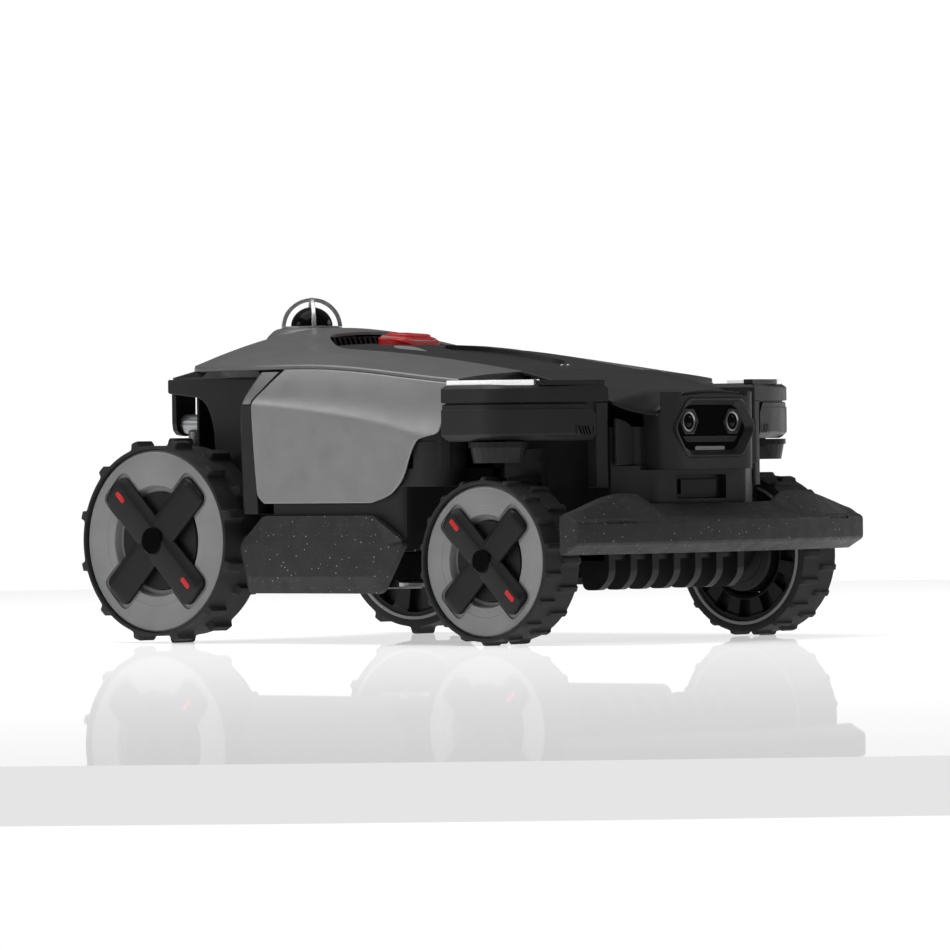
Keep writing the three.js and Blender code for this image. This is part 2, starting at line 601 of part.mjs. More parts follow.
const upright = wheelFace - rearWheel.reach - gap;
const rearArm = join(
  rod('x', rearAxleX - earX + 4.6, rearAxleX + earX - 4.6, [armPivot.y, armPivot.z], 10, undefined, 20),
  rod('x', rearAxleX - earX - 3, rearAxleX + earX + 3, [armPivot.y, armPivot.z], armPivot.pin, undefined, 16),
  prism('z', outline([[-285, armPivot.y + 4], [-219, armPivot.y + 4], [-224, upright], [-304, upright],
    [-304, shock.y - 18, 8]]), 93, 103),
  box(-300, -278, shock.y - 10, upright, 100, 110),
  rod('y', upright - 9, upright, [rearAxleX, rearWheel.radius], 36, undefined, 32),
  prism('y', outline([[-304, 94], [-224, 94], [-230, 120], [-280, 120]]), upright - 9, upright));
const lowerEars = join(
  prism('x', outline([[shock.y - 11, 100], [shock.y - 11, 132, 8], [shock.y + 11, 132, 8],
    [shock.y + 11, 100]]), shock.x - 17, shock.x - 12),
  prism('x', outline([[shock.y - 11, 100], [shock.y - 11, 132, 8], [shock.y + 11, 132, 8],
    [shock.y + 11, 100]]), shock.x + 12, shock.x + 17),
  rod('x', shock.x - 20, shock.x + 20, [shock.y, shock.bottom], shock.pin, undefined, 12));
const eyeBlock = (z) => cut(
  rod('x', shock.x - 9, shock.x + 9, [shock.y, z], 11, undefined, 20),
  rod('x', shock.x - 12, shock.x + 12, [shock.y, z], shock.pin + gap, undefined, 12));
const coil = range(shock.bottom + 20, shock.top - 34, 3).map((z) =>
  rod('z', z, z + 14, [shock.x, shock.y], shock.radius, undefined, 14));
const shockBody = join(eyeBlock(shock.top), eyeBlock(shock.bottom),
  rod('z', shock.bottom + 9, shock.top - 9, [shock.x, shock.y], 9, undefined, 14), ...coil);
for (const [name, side] of sides) {
  addPart(`rear_arm_${name}`, onSide(join(rearArm, lowerEars), side), look.black);
  addPart(`shock_absorber_${name}`, onSide(shockBody, side), look.steel);
}

// ---------------------------------------------------------------- front forks

const forkInner = wheelFace - frontWheel.reach - gap;
const fork = join(
  rod('z', 206, 211.8, [frontAxleX, kingpinY], 32, undefined, 24),
  rod('z', 190, 206, [frontAxleX, kingpinY], 27, 30, 24),
  rod('z', 205, 230, [frontAxleX, kingpinY], 10, undefined, 20),
  prism('z', outline([[184, forkInner - 10, 6], [184, 214], [232, 214], [232, forkInner - 10, 6]]), 190, 204),
  prism('y', outline([[184, 200], [232, 200], [236, 120], [230, 88, 20], [206, 60, 20], [182, 88, 20],
    [180, 120]]), forkInner - 10, forkInner));
for (const [name, side] of sides) {
  addPart(`front_fork_${name}`, onSide(fork, side), look.black);
}

// ---------------------------------------------------------------- cutting deck

const deckDish = cut(
  rod('z', deck.bottom, deck.top, [deck.x, 0], deck.radius, deck.radius - 12, 48),
  rod('z', deck.bottom - 2, deck.top - 4, [deck.x, 0], deck.radius - 3, deck.radius - 15, 48),
  rod('z', deck.top - 10, deck.top + 4, [deck.x, 0], 8, undefined, 20),
  rod('z', deck.top - 10, deck.top + 4, [deck.x - 80, 0], 7, undefined, 16));
addPart('cutting_deck', deckDish, look.black);
addPart('cutting_motor', join(
  rod('z', deck.top + gap, deck.top + 34, [deck.x, 0], 38, undefined, 32),
  rod('z', deck.discZ + 4.4, deck.top + 1, [deck.x, 0], 7, undefined, 20)), look.steel);
const bladePivot = deck.discRadius - 10;
const bladeCount = 3;
const bladeTurn = (i) => i * 2 * Math.PI / bladeCount;
const pivotHoles = range(0, bladeCount - 1, bladeCount - 1).map((i) =>
  rod('z', deck.discZ - 4, deck.discZ + 8,
    [deck.x + bladePivot * Math.cos(bladeTurn(i)), bladePivot * Math.sin(bladeTurn(i))], 3.4, undefined, 12));
addPart('cutting_disc',
  cut(rod('z', deck.discZ, deck.discZ + 4, [deck.x, 0], deck.discRadius, undefined, 48), ...pivotHoles),
  look.steel);
range(0, bladeCount - 1, bladeCount - 1).forEach((i) => {
  const blade = join(
    prism('z', outline([[-8, -8, 4], [34, -8, 2], [34, 8, 2], [-8, 8, 4]]), -2, -0.4),
    rod('z', -1, 4, [0, 0], 3, undefined, 12));
  const mesh = addPart(`blade_${i + 1}`, blade, look.steel);
  mesh.position.set(deck.x + bladePivot * Math.cos(bladeTurn(i)), bladePivot * Math.sin(bladeTurn(i)),
    deck.discZ);
  mesh.rotation.z = bladeTurn(i);
});
addPart('lift_screw', join(
  rod('z', deck.top + gap, 204, [deck.x - 80, 0], 6, undefined, 16),
  rod('z', deck.top + gap, deck.top + 6, [deck.x - 80, 0], 14, undefined, 16)), look.steel);
addPart('lift_gear_motor', cut(
  join(rod('z', floorPlate.top + gap, 190, [deck.x - 80, 0], 22, undefined, 20),
    box(deck.x - 130, deck.x - 84, -18, 18, floorPlate.top + gap, 200)),
  rod('z', 160, 214, [deck.x - 80, 0], 6 + gap, undefined, 16)), look.black);

// ---------------------------------------------------------------- electronics

addPart('battery_pack', box(-48, 80, -96, 96, floorPlate.top + gap, 236), look.black);
addPart('main_board', join(box(90, 220, -84, 84, 178, 180), box(100, 130, -30, 20, 179, 190),
  box(96, 110, 40, 76, 179, 192), box(150, 190, -70, -40, 179, 186)), look.board);

export default mower;
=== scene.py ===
"""The looks of a robotic lawn mower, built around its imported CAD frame.

Shapes are written in millimetres in the part's frame: +X forward, +Y the mower's left, +Z up, the ground at
z = 0. They become metres when a mesh is made.
"""
import json
from math import cos, pi, radians, sin, sqrt

import bmesh
import bpy
from mathutils import Matrix, Vector


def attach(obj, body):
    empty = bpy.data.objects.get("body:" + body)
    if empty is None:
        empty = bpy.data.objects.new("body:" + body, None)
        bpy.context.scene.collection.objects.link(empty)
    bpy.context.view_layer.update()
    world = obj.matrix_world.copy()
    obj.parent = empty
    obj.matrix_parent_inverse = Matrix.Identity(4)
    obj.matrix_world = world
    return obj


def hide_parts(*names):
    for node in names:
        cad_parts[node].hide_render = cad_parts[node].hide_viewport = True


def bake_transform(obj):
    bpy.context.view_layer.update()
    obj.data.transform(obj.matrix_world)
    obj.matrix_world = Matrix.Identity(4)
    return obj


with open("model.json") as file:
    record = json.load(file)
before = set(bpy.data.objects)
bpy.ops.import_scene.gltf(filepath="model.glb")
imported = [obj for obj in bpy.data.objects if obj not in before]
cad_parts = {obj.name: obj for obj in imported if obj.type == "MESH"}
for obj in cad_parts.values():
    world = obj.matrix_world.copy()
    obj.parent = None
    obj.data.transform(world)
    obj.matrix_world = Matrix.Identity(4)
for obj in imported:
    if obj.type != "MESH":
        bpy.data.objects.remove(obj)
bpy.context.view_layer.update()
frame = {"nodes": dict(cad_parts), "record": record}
MM = 0.001
SIDES = (("left", 1), ("right", -1))

# Camera

CAMERA_BEARING = 39.73
CAMERA_PITCH = -0.2246
CAMERA_ROLL = -0.0118
CAMERA_PLACE = Vector((6.0269, -7.2612, 0.21355))


def add_camera():
    """A long lens a hand's height above the ground, ahead of the mower on its right."""
    data = bpy.data.cameras.new("camera")
    data.sensor_width = 36
    data.lens = 332.75
    data.clip_end = 100
    camera = bpy.data.objects.new("camera", data)
    turn = (Matrix.Rotation(radians(CAMERA_BEARING), 4, "Z")
            @ Matrix.Rotation(pi / 2 + radians(CAMERA_PITCH), 4, "X")
            @ Matrix.Rotation(CAMERA_ROLL, 4, "Z"))
    camera.matrix_world = Matrix.Translation(CAMERA_PLACE) @ turn
    bpy.context.scene.collection.objects.link(camera)
    bpy.context.scene.camera = camera


add_camera()

# Materials


def fill(tree, node, inputs):
    """Sets a node's inputs, each given as a value or as another node's output."""
    for key, value in inputs.items():
        if isinstance(value, bpy.types.NodeSocket):
            tree.links.new(value, node.inputs[key])
        else:
            node.inputs[key].default_value = value


def add_node(tree, kind, inputs, **settings):
    """A shader node with its settings and inputs."""
    node = tree.nodes.new(f"ShaderNode{kind}")
    for key, value in settings.items():
        setattr(node, key, value)
    fill(tree, node, inputs)
    return node


def new_material(name):
    """A material with its node tree, its main shader and the place on the object, in metres."""
    material = bpy.data.materials.new(name)
    material.use_nodes = True
    tree = material.node_tree
    return material, tree, tree.nodes["Principled BSDF"], add_node(tree, "TexCoord", {}).outputs["Object"]


def noise(tree, place, size_mm, detail=2.0, roughness=0.5):
    """A noise pattern with features of about that size in millimetres."""
    return add_node(tree, "TexNoise", {"Vector": place, "Scale": 1 / (size_mm * MM), "Detail": detail,
                                       "Roughness": roughness}).outputs["Fac"]


def spread(tree, value, low, high, start=0.3, stop=0.7):
    """A value from start to stop, such as a noise, turned into numbers from low to high."""
    return add_node(tree, "MapRange", {"Value": value, "From Min": start, "From Max": stop, "To Min": low,
                                       "To Max": high}).outputs["Result"]


def ramp(tree, value, stops):
    """Colours read off a value, as (place, grey or colour) stops."""
    node = add_node(tree, "ValToRGB", {"Fac": value})
    elements = node.color_ramp.elements
    while len(elements) < len(stops):
        elements.new(0.5)
    for element, (place, colour) in zip(elements, stops):
        element.position = place
        element.color = (*colour, 1) if isinstance(colour, tuple) else (colour, colour, colour, 1)
    return node.outputs["Color"]


def shades(tree, value, colour, dark, light):
    """A colour that varies with a noise, from a darker to a lighter shade of itself."""
    return ramp(tree, value, [(0.3, tinted(colour, dark)), (0.7, tinted(colour, light))])


def tinted(colour, factor):
    """A lighter or darker shade of a colour."""
    return tuple(min(1, c * factor) for c in colour)


def mix(tree, share, a, b):
    """Two colours mixed by a share from 0 to 1."""
    mixed_by, first, second = 0, 6, 7
    return add_node(tree, "Mix", {mixed_by: share, first: a, second: b}, data_type="RGBA").outputs[2]


def cells(tree, place, size_mm):
    """Cells of about that size: the distance to the cell's middle, and two random numbers for each cell."""
    pattern = add_node(tree, "TexVoronoi", {"Vector": place, "Scale": 1 / (size_mm * MM)})
    parts = add_node(tree, "SeparateColor", {"Color": pattern.outputs["Color"]})
    return pattern.outputs["Distance"], parts.outputs["Red"], parts.outputs["Green"]


def calculate(tree, operation, a, b):
    """One sum, or one test that gives 1 or 0, on two values."""
    return add_node(tree, "Math", {0: a, 1: b}, operation=operation).outputs[0]


def bump(tree, layers):
    """A normal with bumps one over another, each as (value, height in millimetres)."""
    below = {}
    for value, height in layers:
        node = add_node(tree, "Bump", {"Strength": 1, "Distance": height * MM, "Height": value, **below})
        below = {"Normal": node.outputs["Normal"]}
    return below["Normal"]


def moulded(name, colour, roughness, grain_mm, grain_height, specular):
    """Moulded plastic: a faint cloudiness, a fine grain and slightly uneven gloss."""
    material, tree, shader, place = new_material(name)
    fill(tree, shader, {
        "Base Color": shades(tree, noise(tree, place, 60, 4), colour, 0.88, 1.12),
        "Roughness": spread(tree, noise(tree, place, 17, 5, 0.65), roughness * 0.88, roughness * 1.15),
        "Specular IOR Level": specular,
        "Normal": bump(tree, [(noise(tree, place, 25), 0.05), (noise(tree, place, grain_mm), grain_height)])})
    return material


def metallic_paint(name, colour, flake, roughness):
    """Paint with fine metal flake under a satin lacquer."""
    material, tree, shader, place = new_material(name)
    glint = cells(tree, place, 0.55)[1]
    base = shades(tree, noise(tree, place, 70, 3), colour, 0.94, 1.06)
    flakes = ramp(tree, glint, [(0.0, tinted(colour, 1 - flake)), (1.0, tinted(colour, 1 + flake))])
    fill(tree, shader, {
        "Base Color": mix(tree, 0.5, base, flakes),
        "Roughness": spread(tree, noise(tree, place, 21, 4), roughness * 0.9, roughness * 1.12),
        "Metallic": 0.6, "Coat Weight": 0.15, "Coat Roughness": 0.25,
        "Normal": bump(tree, [(noise(tree, place, 2.4), 0.012), (glint, 0.006)])})
    return material


def flecked(name, colour):
    """Dark plastic moulded with fine pale flecks of several sizes."""
    material, tree, shader, place = new_material(name)
    shade = shades(tree, noise(tree, place, 40, 4), colour, 0.85, 1.2)
    for size, limit, light in ((5.6, 0.09, 0.5), (3.0, 0.11, 0.22), (1.7, 0.14, 0.08)):
        distance, _, chance = cells(tree, place, size)
        near = calculate(tree, "LESS_THAN", distance, limit)
        rare = calculate(tree, "GREATER_THAN", chance, 0.55)
        shade = mix(tree, calculate(tree, "MULTIPLY", near, rare), shade, (light, light, light, 1))
    fill(tree, shader, {
        "Base Color": shade, "Roughness": spread(tree, noise(tree, place, 15, 4), 0.5, 0.66),
        "Specular IOR Level": 0.4, "Normal": bump(tree, [(noise(tree, place, 1.1, 3), 0.05)])})
    return material


def rubber(name, colour):
    """Tyre rubber: matt, with dusty patches and a fine pebble grain."""
    material, tree, shader, place = new_material(name)
    dust = noise(tree, place, 22, 6, 0.7)
    fill(tree, shader, {
        "Base Color": ramp(tree, dust, [(0.35, colour), (0.8, tinted(colour, 1.9))]),
        "Roughness": spread(tree, dust, 0.62, 0.85), "Specular IOR Level": 0.35,
        "Normal": bump(tree, [(noise(tree, place, 6, 4), 0.12), (noise(tree, place, 0.9), 0.05)])})
    return material


def metal(name, colour, roughness, stretch):
    """Bare metal with fine brushing, its noise stretched along each axis."""
    material, tree, shader, place = new_material(name)
    stretched = add_node(tree, "Mapping", {"Scale": stretch, "Vector": place}).outputs["Vector"]
    lines = noise(tree, stretched, 3, 4)
    fill(tree, shader, {
        "Base Color": shades(tree, noise(tree, place, 14, 4), colour, 0.85, 1.1),
        "Roughness": spread(tree, lines, roughness * 0.75, roughness * 1.3), "Metallic": 1,
        "Normal": bump(tree, [(lines, 0.02)])})
    return material


def circuit(name):
    """Green solder mask with a grid of faint copper tracks."""
    material, tree, shader, place = new_material(name)
    tracks = add_node(tree, "TexBrick", {
        "Vector": place, "Scale": 1 / (9 * MM), "Mortar Size": 0.04, "Color1": (0.01, 0.07, 0.03, 1),
        "Color2": (0.012, 0.09, 0.04, 1), "Mortar": (0.05, 0.2, 0.09, 1)})
    fill(tree, shader, {
        "Base Color": tracks.outputs["Color"], "Roughness": spread(tree, noise(tree, place, 8), 0.3, 0.45),
        "Normal": bump(tree, [(noise(tree, place, 1.2), 0.02)])})
    return material


def diffuser(name):
    """Frosted light guide with a faint lit glow."""
    material, tree, shader, place = new_material(name)
    fill(tree, shader, {
        "Base Color": ramp(tree, noise(tree, place, 8, 3),
                           [(0.3, (0.78, 0.79, 0.8)), (0.7, (0.9, 0.9, 0.9))]),
        "Roughness": spread(tree, noise(tree, place, 3), 0.25, 0.4), "Emission Color": (1, 1, 1, 1),
        "Emission Strength": 0.35, "Normal": bump(tree, [(noise(tree, place, 1.5), 0.03)])})
    return material


LOOKS = {
    "cover_paint": metallic_paint("cover_paint", (0.185, 0.185, 0.187), 0.18, 0.4),
    "panel_paint": metallic_paint("panel_paint", (0.27, 0.27, 0.272), 0.13, 0.36),
    "dark_plastic": moulded("dark_plastic", (0.016, 0.016, 0.0165), 0.42, 0.8, 0.02, 0.26),
    "black_plastic": moulded("black_plastic", (0.009, 0.009, 0.0095), 0.38, 0.7, 0.015, 0.24),
    "flecked_plastic": flecked("flecked_plastic", (0.013, 0.013, 0.0135)),
    "rim_plastic": moulded("rim_plastic", (0.22, 0.221, 0.225), 0.5, 0.9, 0.03, 0.45),
    "tyre_rubber": rubber("tyre_rubber", (0.012, 0.012, 0.0125)),
    "gloss_black": moulded("gloss_black", (0.003, 0.003, 0.0035), 0.1, 3.0, 0.002, 0.08),
    "steel": metal("steel", (0.3, 0.305, 0.31), 0.36, (1, 1, 12)),
    "guard_metal": metal("guard_metal", (0.55, 0.55, 0.56), 0.36, (0.2, 0.2, 0.2)),
    "red_plastic": moulded("red_plastic", (0.55, 0.012, 0.014), 0.3, 0.9, 0.015, 0.5),
    "light_diffuser": diffuser("light_diffuser"),
    "circuit_board": circuit("circuit_board"),
}

# Mesh helpers


def smooth(points, x):
    """A value read off a smooth line through [x, value] points, without overshoot."""
    if x <= points[0][0]:
        return points[0][1]
    if x >= points[-1][0]:
        return points[-1][1]
    slopes = [(b[1] - a[1]) / (b[0] - a[0]) for a, b in zip(points, points[1:])]
    i = next(k for k in range(len(slopes)) if x <= points[k + 1][0])

    def tangent(k):
        if k in (0, len(slopes)):
            return slopes[min(k, len(slopes) - 1)]
        before, after = slopes[k - 1], slopes[k]
        return 0 if before * after <= 0 else 2 * before * after / (before + after)

    (x0, v0), (x1, v1) = points[i][:2], points[i + 1][:2]
    span = x1 - x0
    t = (x - x0) / span
    return ((2 * t ** 3 - 3 * t ** 2 + 1) * v0 + (t ** 3 - 2 * t ** 2 + t) * span * tangent(i)
            + (3 * t ** 2 - 2 * t ** 3) * v1 + (t ** 3 - t ** 2) * span * tangent(i + 1))


def steps(low, high, count):
    """Evenly spaced values from low to high, both included."""
    return [low + (high - low) * i / count for i in range(count + 1)]


def outline(corners, turns=7):
    """A closed outline through corners (a, b, radius), with round corners where a radius is given."""
    line = []
    for i, corner in enumerate(corners):
        here = Vector(corner[:2])
        radius = corner[2] if len(corner) > 2 else 0
        back = Vector(corners[i - 1][:2]) - here
        ahead = Vector(corners[(i + 1) % len(corners)][:2]) - here
        if radius == 0:
            line.append(here)
            continue
        enter = here + back.normalized() * min(radius, back.length * 0.48)
        leave = here + ahead.normalized() * min(radius, ahead.length * 0.48)
        for t in steps(0, 1, turns):
            line.append(enter * (1 - t) ** 2 + here * 2 * t * (1 - t) + leave * t * t)
    return line


def plan(left):
    """A plan outline given for the left side and repeated on the right."""
    right = [(x, -y, *radius) for x, y, *radius in left if y > 0]
    return outline([*left, *reversed(right)])


def oval(a, b, radius, count):
    """A round outline. With a count of 6 it is a hexagon."""
    return [Vector((a + radius * cos(t), b + radius * sin(t)))
            for t in (2 * pi * i / count for i in range(count))]


class Solid:
    """Points and faces in millimetres, before they become a mesh."""

    def __init__(self, points=(), faces=()):
        self.points = [Vector(p) for p in points]
        self.faces = [list(f) for f in faces]

    def add(self, *others):
        """Takes in the points and faces of other solids."""
        for other in others:
            first = len(self.points)
            self.points += other.points
            self.faces += [[first + k for k in face] for face in other.faces]
        return self

    def moved(self, change):
        """A copy with every point changed by a function."""
        return Solid([change(p) for p in self.points], self.faces)

    def on_side(self, side):
        """The solid itself for the left side (1), or its mirror image for the right (-1)."""
        if side > 0:
            return self
        return Solid([(p.x, -p.y, p.z) for p in self.points], [f[::-1] for f in self.faces])


def both(solid):
    """A solid together with its mirror image."""
    return Solid().add(solid, solid.on_side(-1))


def placed(axis, a, b, along):
    """A point from an outline's two numbers and its place along the axis."""
    return {"x": (along, a, b), "y": (a, along, b), "z": (a, b, along)}[axis]


def prism(axis, line, low, high):
    """An outline pushed along an axis: a plan along z, a side view (x, z) along y, a front view along x."""
    count = len(line)
    points = [placed(axis, a, b, end) for end in (low, high) for a, b in line]
    faces = [[i, (i + 1) % count, count + (i + 1) % count, count + i] for i in range(count)]
    return Solid(points, [*faces, list(range(count))[::-1], list(range(count, 2 * count))])


def box(x0, x1, y0, y1, z0, z1):
    """A plain block between two places along each axis."""
    return prism("z", [(x0, y0), (x1, y0), (x1, y1), (x0, y1)], z0, z1)


def rod(axis, low, high, centre, radius, count=32):
    """A round bar along an axis, centred on the other two coordinates."""
    return prism(axis, oval(*centre, radius, count), low, high)


def loft(rings, closed=False):
    """A skin through rings of points. The ends are closed with flat caps, or joined if closed is set."""
    count = len(rings[0])
    solid = Solid([p for ring in rings for p in ring])
    spans = len(rings) if closed else len(rings) - 1
    for i in range(spans):
        a, b = i * count, (i + 1) % len(rings) * count
        for j in range(count):
            k = (j + 1) % count
            solid.faces.append([a + j, a + k, b + k, b + j])
    if not closed:
        last = (len(rings) - 1) * count
        solid.faces.append(list(range(count))[::-1])
        solid.faces.append([last + j for j in range(count)])
    return solid


def shell(outer, inner):
    """A solid between an outer and an inner grid of points, closed round its border."""
    return loft([list(a) + list(reversed(b)) for a, b in zip(outer, inner)])


def lathe(profile, count=96):
    """A ring about the local y axis from a closed profile of (radius, y) points."""
    rings = []
    for i in range(count):
        t = 2 * pi * i / count
        rings.append([(r * cos(t), y, r * sin(t)) for r, y in profile])
    return loft(rings, closed=True)


def sweep(path, radius, count):
    """A round bar along a list of points."""
    path = [Vector(p) for p in path]
    rings = []
    across = None
    for i, here in enumerate(path):
        before = path[max(i - 1, 0)]
        after = path[min(i + 1, len(path) - 1)]
        heading = (after - before).normalized()
        if across is None:
            across = heading.orthogonal().normalized()
        across = (across - heading * across.dot(heading)).normalized()
        up = heading.cross(across)
        rings.append([here + (across * cos(t) + up * sin(t)) * radius
                      for t in (2 * pi * k / count for k in range(count))])
    return loft(rings)


def make(name, solid):
    """A mesh object from a solid, with its faces turned outwards."""
    mesh = bpy.data.meshes.new(name)
    mesh.from_pydata([Vector(p) * MM for p in solid.points], [], solid.faces)
    work = bmesh.new()
    work.from_mesh(mesh)
    bmesh.ops.remove_doubles(work, verts=work.verts, dist=2e-6)
    bmesh.ops.dissolve_degenerate(work, edges=work.edges, dist=2e-6)
    bmesh.ops.recalc_face_normals(work, faces=work.faces)
    work.to_mesh(mesh)
    work.free()
    piece = bpy.data.objects.new(name, mesh)
    bpy.context.scene.collection.objects.link(piece)
    return piece


def apply_modifiers(piece):
    """Makes what a piece's modifiers show its own mesh."""
    graph = bpy.context.evaluated_depsgraph_get()
    mesh = bpy.data.meshes.new_from_object(piece.evaluated_get(graph))
    piece.modifiers.clear()
    piece.data = mesh


def cut(piece, *solids):
    """Cuts solids out of a piece."""
    for solid in solids:
        tool = make("tool", solid)
        modifier = piece.modifiers.new("cut", "BOOLEAN")
        modifier.object = tool
        modifier.solver = "EXACT"
        apply_modifiers(piece)
        bpy.data.objects.remove(tool)
    return piece


def round_edges(piece, width, count=3, angle=28):
    """Rounds a piece's edges, so that they catch the light."""
    modifier = piece.modifiers.new("round", "BEVEL")
    modifier.width = width * MM
    modifier.segments = count
    modifier.limit_method = "ANGLE"
    modifier.angle_limit = radians(angle)
    modifier.harden_normals = True
    modifier.use_clamp_overlap = True
    modifier.miter_outer = "MITER_ARC"


def finish(piece, slot, *nodes, body="chassis", width=0.6, count=3, angle=28):
    """Gives a piece its look and its body, and hides the CAD nodes that it stands for. A piece that stretches
    between two bodies, given as a tuple with the points where each one's hold begins, is only baked in place
    and attached to neither."""
    mesh = piece.data
    mesh.polygons.foreach_set("use_smooth", [True] * len(mesh.polygons))
    mesh.set_sharp_from_angle(angle=radians(angle))
    mesh.materials.clear()
    mesh.materials.append(LOOKS[slot])
    if isinstance(body, tuple):
        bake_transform(piece)
    else:
        if width:
            round_edges(piece, width, count, angle)
        piece.modifiers.new("even", "WEIGHTED_NORMAL").keep_sharp = True
        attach(piece, body)
    if nodes:
        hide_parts(*nodes)


def add(name, solid, slot, *nodes, **how):
    """A finished piece straight from a solid."""
    finish(make(name, solid), slot, *nodes, **how)


def add_pair(name, left, slot, *nodes, **how):
    """Two pieces fixed to the chassis, a left one and its mirror image."""
    for side_name, side in SIDES:
        add(f"{name}_{side_name}", left.on_side(side), slot, *(f"{node}_{side_name}" for node in nodes),
            **how)


# Wheels

WHEELS = {
    "rear": {"x": -252, "radius": 110, "tread": 102, "disc": 98, "barrel": 94, "width": 66,
             "tip": 83, "arm": 38, "recess": 60, "core": 53, "insert": 65, "badge": 15,
             "motor": 50, "reach": 78, "lugs": 12, "lug": 2.35, "slots": 12},
    "front": {"x": 206, "radius": 88, "tread": 84, "disc": 79.5, "barrel": 76, "width": 60,
              "tip": 67, "arm": 31, "recess": 49, "core": 43, "insert": 52, "badge": 12.5,
              "motor": 40, "reach": 68, "lugs": 18, "lug": 1.9, "slots": 12},
}
WHEEL_FACE = 250
RIM_FACE = -3.5


def wheel_place(wheel, side):
    """Turns wheel points (u to the right and v up as seen from outside, w outwards) into the part's frame."""
    def change(p):
        return Vector((wheel["x"] - side * p.x, side * (WHEEL_FACE + p.y), wheel["radius"] + p.z))
    return change


def lug_height(wheel, degrees):
    """How far the tread stands up at an angle from the middle of a lug: a round bar on a scooped foot."""
    half = wheel["lug"]
    return smooth([[0, 1], [half * 0.86, 0.985], [half * 0.98, 0.88], [half * 1.1, 0.5], [half * 1.3, 0.2],
                   [half * 1.75, 0.05], [half * 2.5, 0]], abs(degrees))


def tyre(wheel):
    """A round-shouldered tyre with two rows of cross bars, the outer one half a step ahead."""
    step = 360 / wheel["lugs"]
    half = wheel["lug"]
    local = sorted({s * k * half for s in (-1, 1) for k in (0, 0.45, 0.86, 0.98, 1.1, 1.3, 1.75, 2.5)})
    angles = sorted({round(i * step / 2 + a, 4) % 360 for i in range(2 * wheel["lugs"]) for a in local})
    face, inner = RIM_FACE, -wheel["width"]
    middle = inner / 2
    height = wheel["radius"] - wheel["tread"]
    outer_row = [[middle, 0], [middle + 1.2, 0.7], [middle + 3, 1], [face - 4.5, 1], [face - 2.2, 0.85],
                 [face - 0.8, 0.4]]
    inner_row = [[inner + 0.8, 0.4], [inner + 2.2, 0.85], [inner + 4.5, 1], [middle - 3, 1],
                 [middle - 1.2, 0.7], [middle, 0]]
    tread, barrel = wheel["tread"], wheel["barrel"] + 0.4
    section = [(barrel, inner + 0.5), (tread - 4, inner), (tread - 1.2, inner + 0.3)]
    section += [(tread, w) for w in (inner + 0.8, inner + 2.2, inner + 4.5, inner + 9, middle - 8, middle - 3,
                                     middle - 1.2, middle, middle + 1.2, middle + 3, middle + 8, face - 9,
                                     face - 4.5, face - 2.2, face - 0.8)]
    section += [(tread - 0.9, face - 0.2), (tread - 2.2, face), (wheel["disc"] + 1.2, face - 0.1),
                (wheel["disc"] + 0.5, face - 1), (wheel["disc"] + 0.5, face - 7), (barrel, face - 8)]
    rings = []
    for degrees in angles:
        t = radians(degrees)
        phases = {}
        for row, phase in ((outer_row, 0.5), (inner_row, 0.0)):
            offset = (degrees - phase * step + step / 2) % step - step / 2
            phases[row[0][0]] = lug_height(wheel, offset)
        ring = []
        for r, w in section:
            share = 0
            if r >= tread:
                row = outer_row if w > middle else inner_row
                share = phases[row[0][0]] * smooth(row, w)
            radius = r + height * share
            ring.append((radius * cos(t), w, radius * sin(t)))
        rings.append(ring)
    return loft(rings, closed=True)


def rim_profile(wheel):
    """The disc seen from outside: a bright bevel at its edge, a stepped ring, then the dish round the hub."""
    face = RIM_FACE - 4
    disc, barrel, recess = wheel["disc"], wheel["barrel"], wheel["recess"]
    inner = -wheel["width"]
    front = [(wheel["core"], face - 9), (recess - 2.5, face - 9), (recess - 0.6, face - 1.6),
             (recess, face - 0.5), (recess + 9.4, face - 0.3), (recess + 10, face + 0.2),
             (recess + 10.6, face), (disc - 4.6, face), (disc - 3.4, face + 0.5), (disc - 2.2, face + 0.5),
             (disc - 0.2, face - 1.4), (disc - 0.2, face - 2.4)]
    back = [(barrel, face - 3), (barrel, inner), (barrel - 3.4, inner), (barrel - 3.4, face - 6),
            (recess + 6, face - 6), (wheel["core"], face - 12)]
    return front + back


def cross_line(wheel, grow):
    """The outline of the X in plan, grown all round."""
    arm, tip = wheel["arm"] / 2 + grow, wheel["tip"] + grow
    corners = []
    for k in range(4):
        turn = pi / 4 + k * pi / 2
        c, s = cos(turn), sin(turn)
        corners += [(tip * c + arm * s, tip * s - arm * c, wheel["arm"] * 0.28),
                    (tip * c - arm * s, tip * s + arm * c, wheel["arm"] * 0.28),
                    (arm * (c - s), arm * (c + s), wheel["arm"] * 0.5)]
    return outline(corners)


